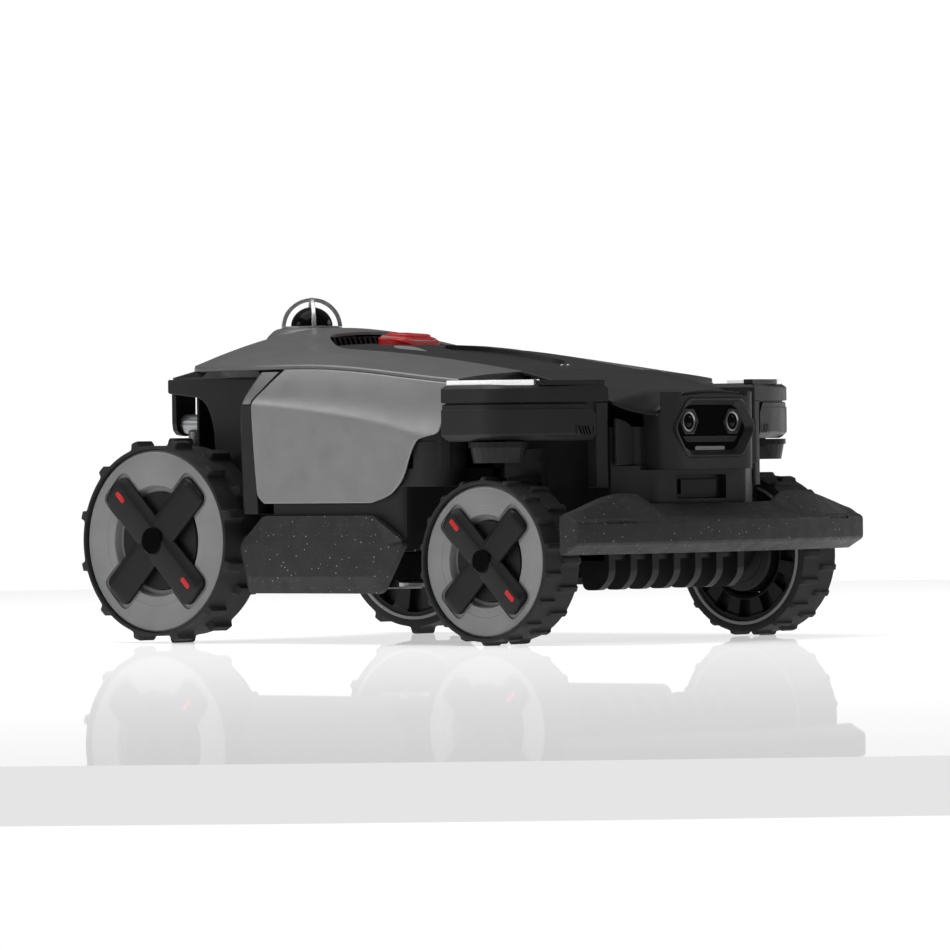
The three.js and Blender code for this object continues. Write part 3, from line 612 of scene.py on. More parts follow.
def cross_bar(wheel, turn, low, high):
    """One bar of the X. It lies flush along one edge, rises across its width and drops in a steep bevel."""
    arm, tip = wheel["arm"] / 2, wheel["tip"]
    foot = RIM_FACE - 6
    across = [-1, -0.94, -0.8, -0.4, 0.1, 0.46, 0.56, 0.78, 1]
    heights = [low - 1.4, low, low + (high - low) * 0.18, low + (high - low) * 0.5, low + (high - low) * 0.86,
               high, high - 0.4, low + (high - low) * 0.1, low - 2.6]
    along = [-1, -0.985, -0.95, -0.9, -0.82, -0.6, -0.3, 0, 0.3, 0.6, 0.82, 0.9, 0.95, 0.985, 1]
    c, s = cos(turn), sin(turn)
    rings = []
    for t in along:
        off_end = (1 - abs(t)) * tip
        corner = wheel["arm"] * 0.24
        tuck = 0 if off_end > corner else corner - sqrt(corner ** 2 - (corner - off_end) ** 2)
        drop = 2.2 * max(0, 1 - off_end / 5) ** 1.5
        top, bottom = [], []
        for n, w in zip(across, heights):
            a, b = t * tip, n * (arm - tuck)
            place = (a * c - b * s, a * s + b * c)
            top.append((place[0], max(w - drop, foot + 0.5), place[1]))
            bottom.append((place[0], foot, place[1]))
        rings.append(top + bottom[::-1])
    return loft(rings)


def insert(wheel, turn, reach, top):
    """A red insert let into the raised bar."""
    c, s = cos(turn), sin(turn)
    line = outline([(-7.2, -2.7, 2), (7.2, -2.7, 2), (7.2, 2.7, 2), (-7.2, 2.7, 2)], 5)
    shift = 1.5
    line = [((reach + a) * c - (b + shift) * s, (reach + a) * s + (b + shift) * c) for a, b in line]
    return prism("y", line, top - 2.5, top)


def hub_ring(wheel):
    """The back of the wheel: a castellated ring round the motor, and the rings of the dish."""
    inner = -wheel["width"]
    low, high = wheel["motor"] + 5, wheel["barrel"] - 5
    return lathe([(low, inner + 18), (low, inner + 7), (low + 3, inner + 5), (high - 6, inner + 5),
                  (high - 4, inner + 3), (high + 1.8, inner + 3), (high + 1.8, inner + 18)], 96)


def castle_slots(wheel):
    """Slots cut through the back ring, in pairs of steps round the axle."""
    count = wheel["slots"]
    low, high = wheel["motor"] + 9, wheel["barrel"] - 8
    slots = Solid()
    for i in range(count):
        middle, half = 2 * pi * i / count, pi / count * 0.5
        line = [(high * cos(middle + t), high * sin(middle + t)) for t in steps(-half, half, 4)]
        line += [(low * cos(middle + t), low * sin(middle + t)) for t in steps(half, -half, 4)]
        slots.add(prism("y", line, -wheel["width"] - 2, -wheel["width"] + 14))
    return slots


def motor_profile(wheel):
    """The hub motor: a drum with a ribbed rim and a stepped back plate."""
    reach, radius = wheel["reach"], wheel["motor"]
    front = -26
    return [(8, -14.6), (radius - 6, front), (radius - 1.5, front - 1), (radius, front - 3),
            (radius, front - 12), (radius - 1.6, front - 13), (radius - 1.6, front - 16),
            (radius, front - 17), (radius, -reach + 8), (radius - 2, -reach + 6), (radius - 9, -reach + 5),
            (radius - 10, -reach + 1.6), (radius - 26, -reach), (7.3, -reach)]


for end, wheel in WHEELS.items():
    tread_solid = tyre(wheel)
    disc_solid = lathe(rim_profile(wheel), 120)
    high_bar = cross_bar(wheel, -pi / 4, -3.4, -0.4)
    low_bar = cross_bar(wheel, pi / 4, -3.9, -2.2)
    for name, side in SIDES:
        body, place = f"{end}_wheel_{name}", wheel_place(wheel, side)
        add(f"{end}_tyre_tread_{name}", tread_solid.moved(place), "tyre_rubber", f"{end}_tyre_{name}",
            body=body, width=0, angle=50)
        disc = make(f"{end}_rim_disc_{name}", disc_solid.moved(place))
        cut(disc, prism("y", cross_line(wheel, 3.2), RIM_FACE - 6.2, 1).moved(place))
        finish(disc, "rim_plastic", f"{end}_rim_{name}", body=body, width=0.5)
        ring = cut(make(f"{end}_back_ring_{name}", hub_ring(wheel).moved(place)),
                   castle_slots(wheel).moved(place))
        finish(ring, "black_plastic", body=body, width=0.6, count=2)
        core = lathe([(0.5, -13.4), (wheel["core"] - 1, -13.4), (wheel["core"] - 0.4, -14.2),
                      (wheel["core"] - 0.4, -18), (0.5, -18)], 72)
        bars = Solid().add(high_bar, low_bar)
        add(f"{end}_hub_cross_{name}", bars.moved(place), "black_plastic", f"{end}_hub_cap_{name}", body=body,
            width=0.7)
        add(f"{end}_hub_core_{name}", core.moved(place), "black_plastic", body=body, width=0.5)
        radius = wheel["badge"]
        badge = lathe([(0.3, -0.05), (radius - 1.5, -0.05), (radius, -0.9), (radius, -7), (0.3, -7)], 64)
        add(f"{end}_hub_badge_{name}", badge.moved(place), "gloss_black", body=body, width=0)
        marks = Solid().add(insert(wheel, -pi / 4, wheel["insert"], -0.1),
                            insert(wheel, -pi / 4, -wheel["insert"], -0.1))
        add(f"{end}_hub_insert_{name}", marks.moved(place), "red_plastic", body=body, width=0.5)
        add(f"{end}_motor_drum_{name}", lathe(motor_profile(wheel), 72).moved(place), "black_plastic",
            f"{end}_wheel_motor_{name}", body=body, width=0.4)

# Painted cover

RIDGE = [[-270, 298], [-267, 318], [-262, 331], [-244, 335], [-212, 338], [-190, 338], [-163, 335.5],
         [-150, 332], [-136, 326], [-122, 321], [-108, 319.5], [-48, 317.5], [-13, 314], [77, 300],
         [149, 288]]
CREASE = [[-270, 296], [-244, 300], [-215, 306.5], [-192, 311], [-150, 313], [-102, 312], [-13, 304],
          [77, 293], [149, 283]]
CROWN = [[-270, 1.45], [-250, 1.5], [-190, 2]]
EDGE = [[-270, 295.4], [-69, 296], [149, 278]]
HALF_WIDTH = [[-270, 146], [-264, 162], [-252, 176], [-222, 190], [-182, 201], [-134, 212], [-92, 215],
              [149, 215]]
CREASE_Y = 165
COVER_FRONT = 149
STRIP_PLAN = [(-153, 72, 16), (-124, 92, 24), (-86, 128, 30), (-58, 133, 20), (60, 110, 20), (160, 104)]
SHOULDER = [[-121, 255], [-52, 248], [4, 241], [59, 232], [107, 220], [149, 214]]
SHOULDER_Y = 236


def back_height(x, y):
    """Height of the painted back at a place in plan."""
    out = abs(y)
    top, fold = smooth(RIDGE, x), smooth(CREASE, x)
    if out <= CREASE_Y:
        return top - (top - fold) * (out / CREASE_Y) ** smooth(CROWN, x)
    reach = max(smooth(HALF_WIDTH, x), CREASE_Y + 1)
    return fold - (fold - smooth(EDGE, x)) * min(1, (out - CREASE_Y) / (reach - CREASE_Y)) ** 1.2


def on_back(line, lift):
    """An outline in plan laid on the painted back, or held over it."""
    return [(x, y, back_height(x, y) + lift) for x, y in line]


def panel_y(x, z):
    """Half width of the machine's side: upright below the shoulder line and leaning in above it."""
    shoulder, top = smooth(SHOULDER, x), smooth(EDGE, x)
    if z <= shoulder:
        return SHOULDER_Y
    return SHOULDER_Y - 21 * ((z - shoulder) / (top - shoulder)) ** 1.4


def cover_section(x):
    """Outer and inner lines across the cover at x, from one rim to the other."""
    width = smooth(HALF_WIDTH, x)
    floor = smooth(EDGE, x) - 4
    fold = min(CREASE_Y, width)
    flats = steps(0, fold, 18)
    slopes = [fold + (width - 1.2 - fold) * t for t in steps(0, 1, 5)[1:]] if width > fold + 1 else []
    outs = flats + slopes
    half = [(y, back_height(x, y)) for y in outs]
    edge = back_height(x, width)
    rim = [(width, edge - 1.2), (width, min(edge - 2, floor + 2)), (width, floor)]
    outer = half + [rim[0]] * (24 - len(half)) + rim
    inner = [(max(0, y - 3 * y / width), z - 3) for y, z in outer[:-1]] + [(width - 3, floor)]
    sections = []
    for line in (outer, inner):
        sections.append([(x, -y, z) for y, z in line[:0:-1]] + [(x, y, z) for y, z in line])
    return sections


tail_xs = [-270, -269.4, -268.6, -267.6, -266.4, -265, -263.4, -261.8, -260, -257, -253, -249, -245, -240,
           -235, -229, -222, -214, -205]
sections = [cover_section(x) for x in tail_xs + steps(-195, COVER_FRONT, 43)]
cover = make("back_cover", shell([s[0] for s in sections], [s[1] for s in sections]))
slot_tool = prism("z", plan(STRIP_PLAN), 250, 380)
cut(cover, slot_tool)
finish(cover, "cover_paint", "top_cover", width=0.7)

ANTENNA = {"x": -237, "base": 338.6, "dome": 23, "arch": 31}


def about_antenna(p):
    """Turns a lathe's points (about y) upright, round the antenna's axis."""
    return Vector((ANTENNA["x"] + p.x, -p.z, p.y))


turret_line = [(0.4, 338.3), (34, 338.3), (34.8, 337.8), (36, 337.8), (38, 337.4), (42, 335.2), (48, 329.5),
               (54, 321.5), (56, 318), (56, 312), (0.4, 312)]
turret = make("antenna_turret", lathe(turret_line, 96).moved(about_antenna))
cut(turret, slot_tool, box(-330, -270.2, -60, 60, 270, 330))
finish(turret, "cover_paint", width=0.6)


def front_wall_section(y):
    """The upright wall that closes the cover's front edge, cut across at y."""
    back, front, low, high = COVER_FRONT - 4, COVER_FRONT - 0.2, 264, back_height(COVER_FRONT, y) - 1
    return [(back, y, low), (front, y, low), (front, y, high), (back, y, high)]


front_wall = loft([front_wall_section(y) for y in steps(96, 213, 10)])
add("cover_front_wall", both(front_wall), "cover_paint", width=0.5)
tail = prism("y", outline([(-270, 290, 1), (-270, 297, 2), (-266.5, 298, 1), (-266.5, 290, 1)]), -146, 146)
add("cover_tail", tail, "cover_paint", width=0.5)

PILLAR = [[138, -136, -113.5], [150, -137, -114], [176, -138, -116.5], [228, -139, -120.5], [246, -139, -122],
          [256, -137, -122.5], [270, -131.5, -111.5], [289, -123, -96]]
PILLAR_BACK = [[z, back] for z, back, _ in PILLAR]
PILLAR_FRONT = [[z, front] for z, _, front in PILLAR]


def pillar(low, high):
    """A stretch of the corner behind each side panel, which runs from the sill up to the cover's rim."""
    rings = []
    for z in steps(low, high, 26):
        back, front = smooth(PILLAR_BACK, z), smooth(PILLAR_FRONT, z) + 0.4
        face = panel_y(front, z) - 1.2
        rings.append([(back, 207.5, z), (back, face - 6, z), (back + 0.8, face - 2.6, z),
                      (back + 3.4, face - 0.4, z), (back + 6, face, z), (front, face, z), (front, 207.5, z)])
    return loft(rings)


# Painted shade: the whole corner has the cover's grey paint, but its lower stretch faces rearwards into shade
# and is given dark plastic to paint that shade; the upper stretch keeps the cover paint.
add_pair("pillar_painted_shade", pillar(138, 254.6), "dark_plastic", width=0.8)
add_pair("corner_brace", pillar(255, 289), "cover_paint", width=0.8)

# Rear frame

SKIRT = [[-267, 0, -295, 0], [-267, 132, -295, 157], [-262, 150, -292, 168], [-249, 165, -280, 177],
         [-225, 181, -240, 178], [-190, 195, -196, 179], [-141, 204, -141, 180]]


def skirt_section(x0, y0, x1, y1):
    """The skirt's section, from its upper place under the cover's rim to its lower one. Its inner face is
    also set in sideways, except on the middle line."""
    inwards = 1 if y0 > 0 else 0
    return [(x0, y0, 294.5), (x1, y1, 285), (x1 + 0.6, y1 - 0.6 * inwards, 282.6),
            (x0 + 5, y0 - 5 * inwards, 284)]


skirt = [skirt_section(*row) for row in SKIRT]
add("rear_skirt", both(loft(skirt)), "dark_plastic", width=0.6)
side_plate_line = outline([(-291, 283, 2), (-291, 268, 3), (-268, 265.6, 4), (-238, 262, 17),
                           (-226.5, 236, 12), (-221, 196), (-217, 156, 4), (-140, 156), (-140, 283)], 9)
add_pair("rear_side_plate", prism("y", side_plate_line, 172.6, 177), "dark_plastic", width=0.8)
add_pair("shock_bay_wall", box(-261.5, -258, 108, 163.5, 198, 268.5), "black_plastic", width=0.5)

# Shock absorbers

SHOCK = {"x": -289, "y": 132, "top": 235, "bottom": 122}


def shock_absorber():
    """A damper in a coil spring, with an eye round the bolt at each end."""
    x, y = SHOCK["x"], SHOCK["y"]
    spring = [(x + 12.2 * cos(t), y + 12.2 * sin(t), 141 + 11.2 * t / (2 * pi))
              for t in steps(0, 13 * pi, 156)]
    return Solid().add(
        rod("x", x - 15, x + 15, (y, SHOCK["top"]), 10.5),
        rod("z", 186, 227, (x, y), 9.5), rod("z", 128, 190, (x, y), 5, 24),
        rod("z", 214.5, 218, (x, y), 14.6, 40), rod("z", 136, 139.4, (x, y), 14.6, 40),
        rod("x", x - 13, x + 13, (y, SHOCK["bottom"]), 9), sweep(spring, 2, 8))


for name, side in SIDES:
    shock = make(f"shock_{name}", shock_absorber().on_side(side))
    place = [SHOCK["x"] * MM, SHOCK["y"] * side * MM]
    hold = ("chassis", f"rear_arm_{name}", (*place, 0.218), (*place, 0.136))
    finish(shock, "steel", f"shock_absorber_{name}", body=hold, width=0)
add_pair("shock_bolt", rod("x", -266, -261.8, (SHOCK["y"], SHOCK["top"]), 8.4, 6), "steel", width=0.6)

# Fenders over the front wheels, side panels and sills

fender_line = outline([(80, 150), (80, 231, 4), (122, 231, 14), (142, 210, 12), (142, 150)], 7)
add_pair("fender", prism("z", fender_line, 166, 214), "dark_plastic", width=1)

PANEL_REAR = [[149, -112.5], [176, -115.5], [228, -119.5], [255, -121], [278, -104], [296, -88]]
PANEL_FRONT = [[149, 63], [173, 88], [215, 109], [225, 138], [278, 149]]
PANEL_LOW, PANEL_THICK = 149, 3


def panel():
    """The silver side panel, its edges turned in all round."""
    outer, inner = [], []
    for v in steps(0, 1, 44):
        level = PANEL_LOW + v * (296 - PANEL_LOW)
        start = smooth(PANEL_REAR, level)
        end = smooth(PANEL_FRONT, PANEL_LOW + v * (278 - PANEL_LOW))
        lift = 9 * max(0, 1 - v * 12) ** 2
        row = []
        for t in steps(0, 1, 36):
            x = start + lift * (1 - t) + (end - start - 2 * lift) * t
            z = PANEL_LOW + v * (smooth(EDGE, x) - 4.5 - PANEL_LOW)
            row.append((x, panel_y(x, z), z))
        outer.append(row)
        inner.append([(x, y - PANEL_THICK, z) for x, y, z in row])
    return shell(outer, inner)


SILL_LINE = [(-101, 136, 4), (-134, 106, 7), (-122, 54, 5), (62, 54, 7), (95, 108, 7), (51, 136, 4)]
SILL_FACE = [(-96, 109, 4), (-126, 104, 4), (-116, 72, 5), (58, 72, 6), (84, 106, 5), (70, 109, 4)]


def sill():
    """The flecked sill: a flat face between a long upper and a lower chamfer."""
    rim, face = outline(SILL_LINE, 5), outline(SILL_FACE, 5)
    return loft([[placed("y", *p, y) for p in line] for line, y in ((rim, 233), (rim, 241), (face, 248.8))])


add_pair("panel", panel(), "panel_paint", "side_panel", width=1.1, angle=40)
add_pair("sill", sill(), "flecked_plastic", "side_sill", width=1.2, angle=14)

# Dark strip and hood

NOSE_WIDTH = [[149, 100], [153, 116], [276, 116], [290, 92], [300, 76], [308, 60], [317, 46]]
NOSE_DROOP = [[149, 0], [230, 4], [276, 14], [290, 22], [300, 24], [308, 11], [317, 2]]
NOSE_RIDGE = [[149, 288], [200, 278], [234, 272], [258, 269], [300, 266], [317, 264.5]]


def plan_half_width(line, x):
    """How far a plan outline reaches to the left at x."""
    reach = [a.y + (b.y - a.y) * (x - a.x) / (b.x - a.x)
             for a, b in zip(line, line[1:] + line[:1]) if a.x != b.x and min(a.x, b.x) <= x <= max(a.x, b.x)]
    return max(reach)


def strip_grid(drop):
    """Rows across the dark strip, 0.7 mm inside its slot in the cover."""
    line = plan(STRIP_PLAN)
    rows = []
    for x in steps(-118, 149, 56):
        width = plan_half_width(line, x) - 0.7
        rows.append([(x, width * t, back_height(x, width * t) - drop) for t in steps(-1, 1, 40)])
    return rows


def hood_point(x, share, drop):
    """A point on the hood. It falls away towards the sides, most over the camera's shoulders."""
    fall = smooth(NOSE_DROOP, x) * abs(share) ** 2.2
    return (x, share * smooth(NOSE_WIDTH, x), smooth(NOSE_RIDGE, x) - 0.5 - fall - drop)


hood_xs = [149, 150.5, 153] + steps(160, 270, 11) + steps(275, 317, 18)
strip = make("centre_strip", shell(strip_grid(0.5), strip_grid(7)))
cut(strip, box(-122, -72, -36, 36, 280, 360))
leaf = outline([(-52, 0), (-20, 56, 60), (84, 58, 40), (118, 0, 14), (84, -58, 40), (-20, -56, 60)], 14)
leaf_floor = [(36 + (x - 36) * 0.93, y * 0.88) for x, y in leaf]
cut(strip, loft([on_back(leaf, 20), on_back(leaf_floor, -5.2)]))
finish(strip, "dark_plastic", "centre_console", width=0.7)

hood = make("hood", shell([[hood_point(x, s, 0) for s in steps(-1, 1, 44)] for x in hood_xs],
                          [[hood_point(x, s, 4) for s in steps(-1, 1, 44)] for x in hood_xs]))
finish(hood, "dark_plastic", width=1.0, angle=40)

# The grip recess behind the button, and the well that the button sinks into

tray_line = plan([(-158, 78, 16), (-126, 100, 20), (-114, 112)])
add("grip_tray", prism("z", tray_line, 294, 303), "black_plastic", width=0.5)
grip_wall = loft([[(x, y, 300), (x - 4, y - 1, 300), (x - 4, y - 1, top), (x, y, top)] for x, y, top in
                  ((-151.6, 0, 328), (-151.6, 66, 325), (-144, 78, 321), (-122, 95, 313), (-116, 100, 311))])
add("grip_wall", both(grip_wall), "black_plastic", width=0.3)
RIB_COUNT, RIB_PITCH, FIRST_RIB = 16, 8.4, -66
ribs = Solid()
for i in range(RIB_COUNT):
    y = FIRST_RIB + i * RIB_PITCH
    leaning = outline([(y + 9, 301), (y + 13, 301), (y - 1, 327, 1), (y - 4.6, 327.4, 1)], 3)
    ribs.add(prism("x", leaning, -152, -146.5))
add("grip_ribs", ribs, "dark_plastic", width=0.5, count=2)
well = cut(make("button_well", box(-124.5, -69.5, -38.5, 38.5, 289, 310)),
           box(-122, -72, -36, 36, 292.5, 330))
finish(well, "black_plastic", width=0.5)

# Stop button

BUTTON_TOP = [[-120.5, 325], [-117.5, 329], [-114, 330], [-94, 329.6], [-84, 327.2], [-79, 323.4],
              [-74.5, 317]]
BUTTON_LINE = plan([(-120.5, 26, 9), (-113, 34, 6), (-84, 34, 8), (-74.5, 22, 8)])


def button_height(x, y):
    """The button's top: a raised wedge, crowned across, that falls away to the front."""
    crown = 6.5 * max(0, abs(y) / 34 - 0.45) ** 1.6 * 2.2
    return smooth(BUTTON_TOP, x) - crown


def button_rows():
    """Rows across the button's top, from its rear to its front edge."""
    rows = []
    for x in [-120.4, -119.6, -118.4] + steps(-116.5, -80, 16) + [-78, -76.4, -75.2, -74.6]:
        width = plan_half_width(BUTTON_LINE, x)
        rows.append([(x, width * t, button_height(x, width * t)) for t in steps(-1, 1, 30)])
    return rows


def button_ring(shrink, lift):
    """An outline on the button's top, shrunk towards its middle."""
    middle = -98
    line = [(middle + (x - middle) * shrink, y * shrink) for x, y in BUTTON_LINE]
    return [(x, y, button_height(x, y) + lift) for x, y in line]


button_top = button_rows()
button = shell(button_top, [[(x, y, 300) for x, y, _ in row] for row in button_top])
add("stop_key", button, "red_plastic", "stop_button", body="stop_button", width=0.8)
band = make("stop_key_band", loft([button_ring(0.9, -1.6), button_ring(0.9, 0.3), button_ring(0.88, 0.6)]))
cut(band, loft([button_ring(0.72, -0.9), button_ring(0.72, 5)]))
finish(band, "rim_plastic", body="stop_button", width=0.3)
plateau = loft([button_ring(0.71, -1.2), button_ring(0.71, 0.9), button_ring(0.67, 1.5)])
add("stop_key_plateau", plateau, "red_plastic", body="stop_button", width=0.3)
lens_line = outline([(-66, -62), (-40, -96, 40), (-2, -84), (-34, -66, 40)], 12)
lens = loft([on_back(lens_line, lift) for lift in (-4, -0.1)])
add("status_lens", both(lens), "rim_plastic", width=0.4)

STUD = {"x": 119, "y": 5}
stud_top = back_height(STUD["x"], STUD["y"])
stud = lathe([(0.1, stud_top + 0.9), (1.6, stud_top + 0.7), (2.4, stud_top - 0.2), (2.5, stud_top - 4),
              (0.1, stud_top - 4)], 24).moved(lambda p: Vector((STUD["x"] + p.x, STUD["y"] - p.z, p.y)))
add_pair("rain_stud", stud, "steel", "rain_sensor", width=0)

# Satellite antenna

dome_line = [(0.1, 338.7), (ANTENNA["dome"], 338.7), (ANTENNA["dome"], 339.6)] + [
    (ANTENNA["dome"] * cos(t), 339.6 + 21.8 * sin(t)) for t in steps(0.06, pi / 2 - 0.01, 18)]
add("dome", lathe(dome_line, 72).moved(about_antenna), "gloss_black", "antenna_dome", width=0)


def cage_arch(turn):
    """A flat-sided metal arch over the dome, on two feet."""
    rings = []
    for t in steps(0, pi, 48):
        reach = Vector((cos(t), sin(t)))
        ring = []
        for a, b in outline([(-2.3, -2.3, 1), (2.3, -2.3, 1), (2.3, 2.3, 1), (-2.3, 2.3, 1)], 3):
            x, z = reach.x * (ANTENNA["arch"] + a), reach.y * (ANTENNA["arch"] + a)
            ring.append((ANTENNA["x"] + x * cos(turn) - b * sin(turn),
                         x * sin(turn) + b * cos(turn), ANTENNA["base"] - 0.2 + z))
        rings.append(ring)
    return loft(rings)


feet = lathe([(25, 338.7), (25, 340), (25.8, 340.4), (32.4, 340.4), (33.2, 340), (33.2, 338.7)], 72)
cage = Solid().add(cage_arch(pi / 4), cage_arch(-pi / 4), feet.moved(about_antenna))
add("dome_cage", cage, "guard_metal", "antenna_guard", width=0)

# Steering pods

POD = {"low": 212.5, "seam": 252, "top": 271.5}


def pod_line(inset):
    """The pod's outline in plan, moved inwards."""
    return outline([(152 + inset, 122 + inset, 3), (152 + inset, 250 - inset, 6),
                    (226 - inset, 250 - inset, 16), (258 - inset, 190 - inset, 34),
                    (278 - inset, 122 + inset, 4)], 9)


def pod_level(z, inset):
    """The pod's outline at a height."""
    return [(x, y, z) for x, y in pod_line(inset)]


def pod_lid():
    """The pod's lid, with a bevel all round its top."""
    return loft([pod_level(z, inset) for z, inset in (
        (POD["seam"] + 0.7, 1), (POD["seam"] + 1.3, 0), (POD["top"] - 4.6, 0), (POD["top"] - 4, 0.3),
        (POD["top"] - 0.6, 3.8), (POD["top"], 5))])


def pod_housing():
    """The motor housing under the lid. A flat band runs below the seam and the front corner is cut off."""
    return loft([pod_level(z, inset) for z, inset in (
        (POD["low"], 6), (POD["low"] + 1.5, 3.6), (POD["low"] + 6, 0.4), (POD["low"] + 8, 0), (245.4, 0),
        (246, 0.7), (250.6, 0.9), (POD["seam"] - 0.4, 2.4))])


def pod_core():
    """What closes the gap between lid and housing, just inside both."""
    return loft([pod_level(z, 3.4) for z in (POD["low"] + 3, POD["top"] - 6)])


FRONT_CORNER = [(-10, 139.4), (400, 139.4), (400, 100), (-10, 100)]
corner_chamfer = [(130, 256), (153, 256), (139.3, 240), (130, 240)]
pod_post_line = outline([(260, 122.4, 1), (260, 138.4, 1), (272.6, 138.4, 1), (277.6, 122.4, 5)], 6)
pod_post = prism("z", pod_post_line, 163, 251.6)


def pod_slits():
    """Slanted slits low on the housing's front face, between two short brackets."""
    start, stop = Vector((266.2, 162)), Vector((271.4, 144.4))
    heading = (stop - start).normalized()
    out = Vector((-heading.y, heading.x))
    slits = Solid()
    for i in range(6):
        middle = start.lerp(stop, i / 5)
        half = 0.5 if i in (0, 5) else 1.05
        corners = []
        for z, lean in ((218.5, 2.2), (228, -2.2)):
            for along_face in (-half, half):
                place = middle + heading * (along_face + {0: -1.6, 5: 1.6}.get(i, lean))
                corners.append([place + out * depth for depth in (-3, 6)] + [z])
        a, b, c, d = corners
        slits.add(loft([[(p[k].x, p[k].y, p[2]) for p in (a, b, d, c)] for k in (0, 1)]))
    return slits


light_line = outline([(156, 231, 1), (156, 243.5, 3), (224, 243.5, 14), (245.5, 206, 4), (238.5, 201.5, 2),
                      (220, 231, 9)], 9)
front_ridge = outline([(247.5, 202, 1), (256.5, 186, 26), (274, 124.5, 2), (262, 124.5, 2), (246, 180, 26),
                       (239.5, 198, 1)], 9)
for name, side in SIDES:
    housing = make(f"pod_{name}", pod_housing())
    cut(housing, pod_slits(), prism("z", FRONT_CORNER, 200, 260), prism("x", corner_chamfer, 240, 300))
    lid = make(f"pod_lid_{name}", pod_lid())
    inner = make(f"pod_core_{name}", Solid().add(pod_core(), pod_post))
    ridge = make(f"pod_ridge_{name}", loft([[(x, y, z) for x, y in front_ridge]
                                            for z in (POD["top"] - 1, 275.6)]))
    if side < 0:
        for piece in (housing, lid, inner, ridge):
            piece.data.transform(Matrix.Scale(-1, 4, (0, 1, 0)))
            piece.data.flip_normals()
    finish(housing, "dark_plastic", f"steering_pod_{name}", f"steering_motor_{name}", width=0.5, count=2)
    finish(lid, "dark_plastic", width=0.5, count=2)
    finish(inner, "dark_plastic", width=0.4, count=2)
    finish(ridge, "dark_plastic", width=3.2, count=4)
    bar = prism("z", light_line, POD["top"] - 1, 276.2)
    add(f"pod_light_{name}", bar.on_side(side), "light_diffuser", f"light_bar_{name}", width=0.9)

# Camera head in the nose

HEAD = {"back": 284, "front": 321, "half": 75, "low": 181, "top": 262}
LENS = {"y": 36.8, "z": 231}


def window_line(inset, radius=7):
    """The window's six-sided outline from in front, moved inwards."""
    tip, side = 68 - 1.2 * inset, 47 - inset
    low, high = 194 + inset, 255 - inset
    return outline([(a, b, radius) for a, b in
                    ((-tip, 224), (-side, high), (side, high), (tip, 224), (side, low), (-side, low))])


head_line = outline([(HEAD["back"], -HEAD["half"], 1), (HEAD["front"], -HEAD["half"], 26),
                     (HEAD["front"], HEAD["half"], 26), (HEAD["back"], HEAD["half"], 1)], 12)
head = make("camera_head", prism("z", head_line, HEAD["low"], HEAD["top"]))
under_hood = shell([[hood_point(x, s, -80) for s in steps(-1.2, 1.2, 30)] for x in steps(276, 340, 24)],
                   [[hood_point(x, s, 3.6) for s in steps(-1.2, 1.2, 30)] for x in steps(276, 340, 24)])
cut(head, under_hood, prism("x", window_line(-1, 8), 305, 330))
finish(head, "dark_plastic", "camera_housing", width=1.2)
bezel = loft([[placed("x", *p, x) for p in window_line(inset, 8)] for inset, x in
              ((-0.6, 306), (-0.6, 321.2), (0.4, 322), (1.6, 321.8), (6.6, 315), (6.8, 306))], closed=True)
add("camera_bezel", bezel, "dark_plastic", width=0)
slot_line = outline([(-26, 200.5, 2), (26, 200.5, 2), (26, 205, 2), (-26, 205, 2)], 4)
pane = cut(make("camera_pane", prism("x", window_line(6.9), 309, 314.6)), prism("x", slot_line, 313.4, 316))
finish(pane, "gloss_black", "camera_window", width=0.4)
add("camera_lamp", prism("x", slot_line, 312, 313.8), "rim_plastic", width=0.2)
groove = outline([(-40, 209.4), (40, 209.4), (47, 215.6), (-47, 215.6)])
add("camera_groove", prism("x", groove, 312, 315), "black_plastic", width=0.5)
bracket_line = outline([(119, 186), (119, 235, 3), (100, 232, 14), (85, 219, 18), (77, 196, 8), (75, 186)], 8)
add_pair("nose_bracket", prism("x", bracket_line, HEAD["back"] - 4, HEAD["back"]), "dark_plastic", width=1)


def facing_front(p):
    """Turns a lathe's points (about y) to face forward, round the left lens's middle."""
    return Vector((p.y, LENS["y"] + p.x, LENS["z"] + p.z))


for name, side in SIDES:
    middle = (side * LENS["y"], LENS["z"])
    lens_frame = cut(make(f"lens_frame_{name}", rod("x", 312, 316.4, middle, 15.5, 6)),
                     rod("x", 300, 320, middle, 10.6, 48))
    finish(lens_frame, "dark_plastic", width=0.9)
barrel = lathe([(8.4, 312.5), (10.4, 312.5), (10.4, 315.6), (9.6, 315.9), (8.4, 315)], 48)
add_pair("lens_barrel", barrel.moved(facing_front), "steel", width=0)
glass_line = [(0.1, 313.0)] + [(8.2 * sin(t), 313.0 + 2.3 * cos(t)) for t in steps(1.57, 0.02, 10)]
add_pair("lens_glass", lathe(glass_line, 48).moved(facing_front), "gloss_black", "camera_lens", width=0)

# Bumper and guard

BUMPER_HALF = 243
HUMP = [[0, 145], [104, 146], [124, 156], [150, 157], [243, 137]]
BROW = [[0, 133], [104, 134], [124, 150], [160, 152], [243, 135]]
SETBACK = [[0, 22], [104, 22], [124, 30], [243, 14]]


def bumper_front(y):
    """How far forward the bumper reaches: a shallow bow with cut-off corners."""
    return min(362 - 5.3e-4 * y * y, 328 + (BUMPER_HALF - abs(y)) * 3)


def bumper_section(y):
    """The bumper's closed outline from the side at y, with a chamfered brow above its face."""
    out, front = abs(y), bumper_front(y)
    hump, brow, setback = (smooth(line, out) for line in (HUMP, BROW, SETBACK))
    return [(306.5, y, 97), (front - 20, y, 94), (front - 2, y, 103.8), (front - 0.4, y, 106),
            (front, y, 108), (front, y, 125.5), (front - 0.8, y, 127.6), (front - 3, y, 129.4),
            (front - 8, y, 131.4), (front - setback, y, brow), (306.5 + 6, y, hump), (306.5, y, hump - 3)]


stations = [-243, -242, -240, -237, -233, -228] + steps(-222, 222, 74) + [228, 233, 237, 240, 242, 243]
bumper = make("bumper", loft([bumper_section(y) for y in stations]))


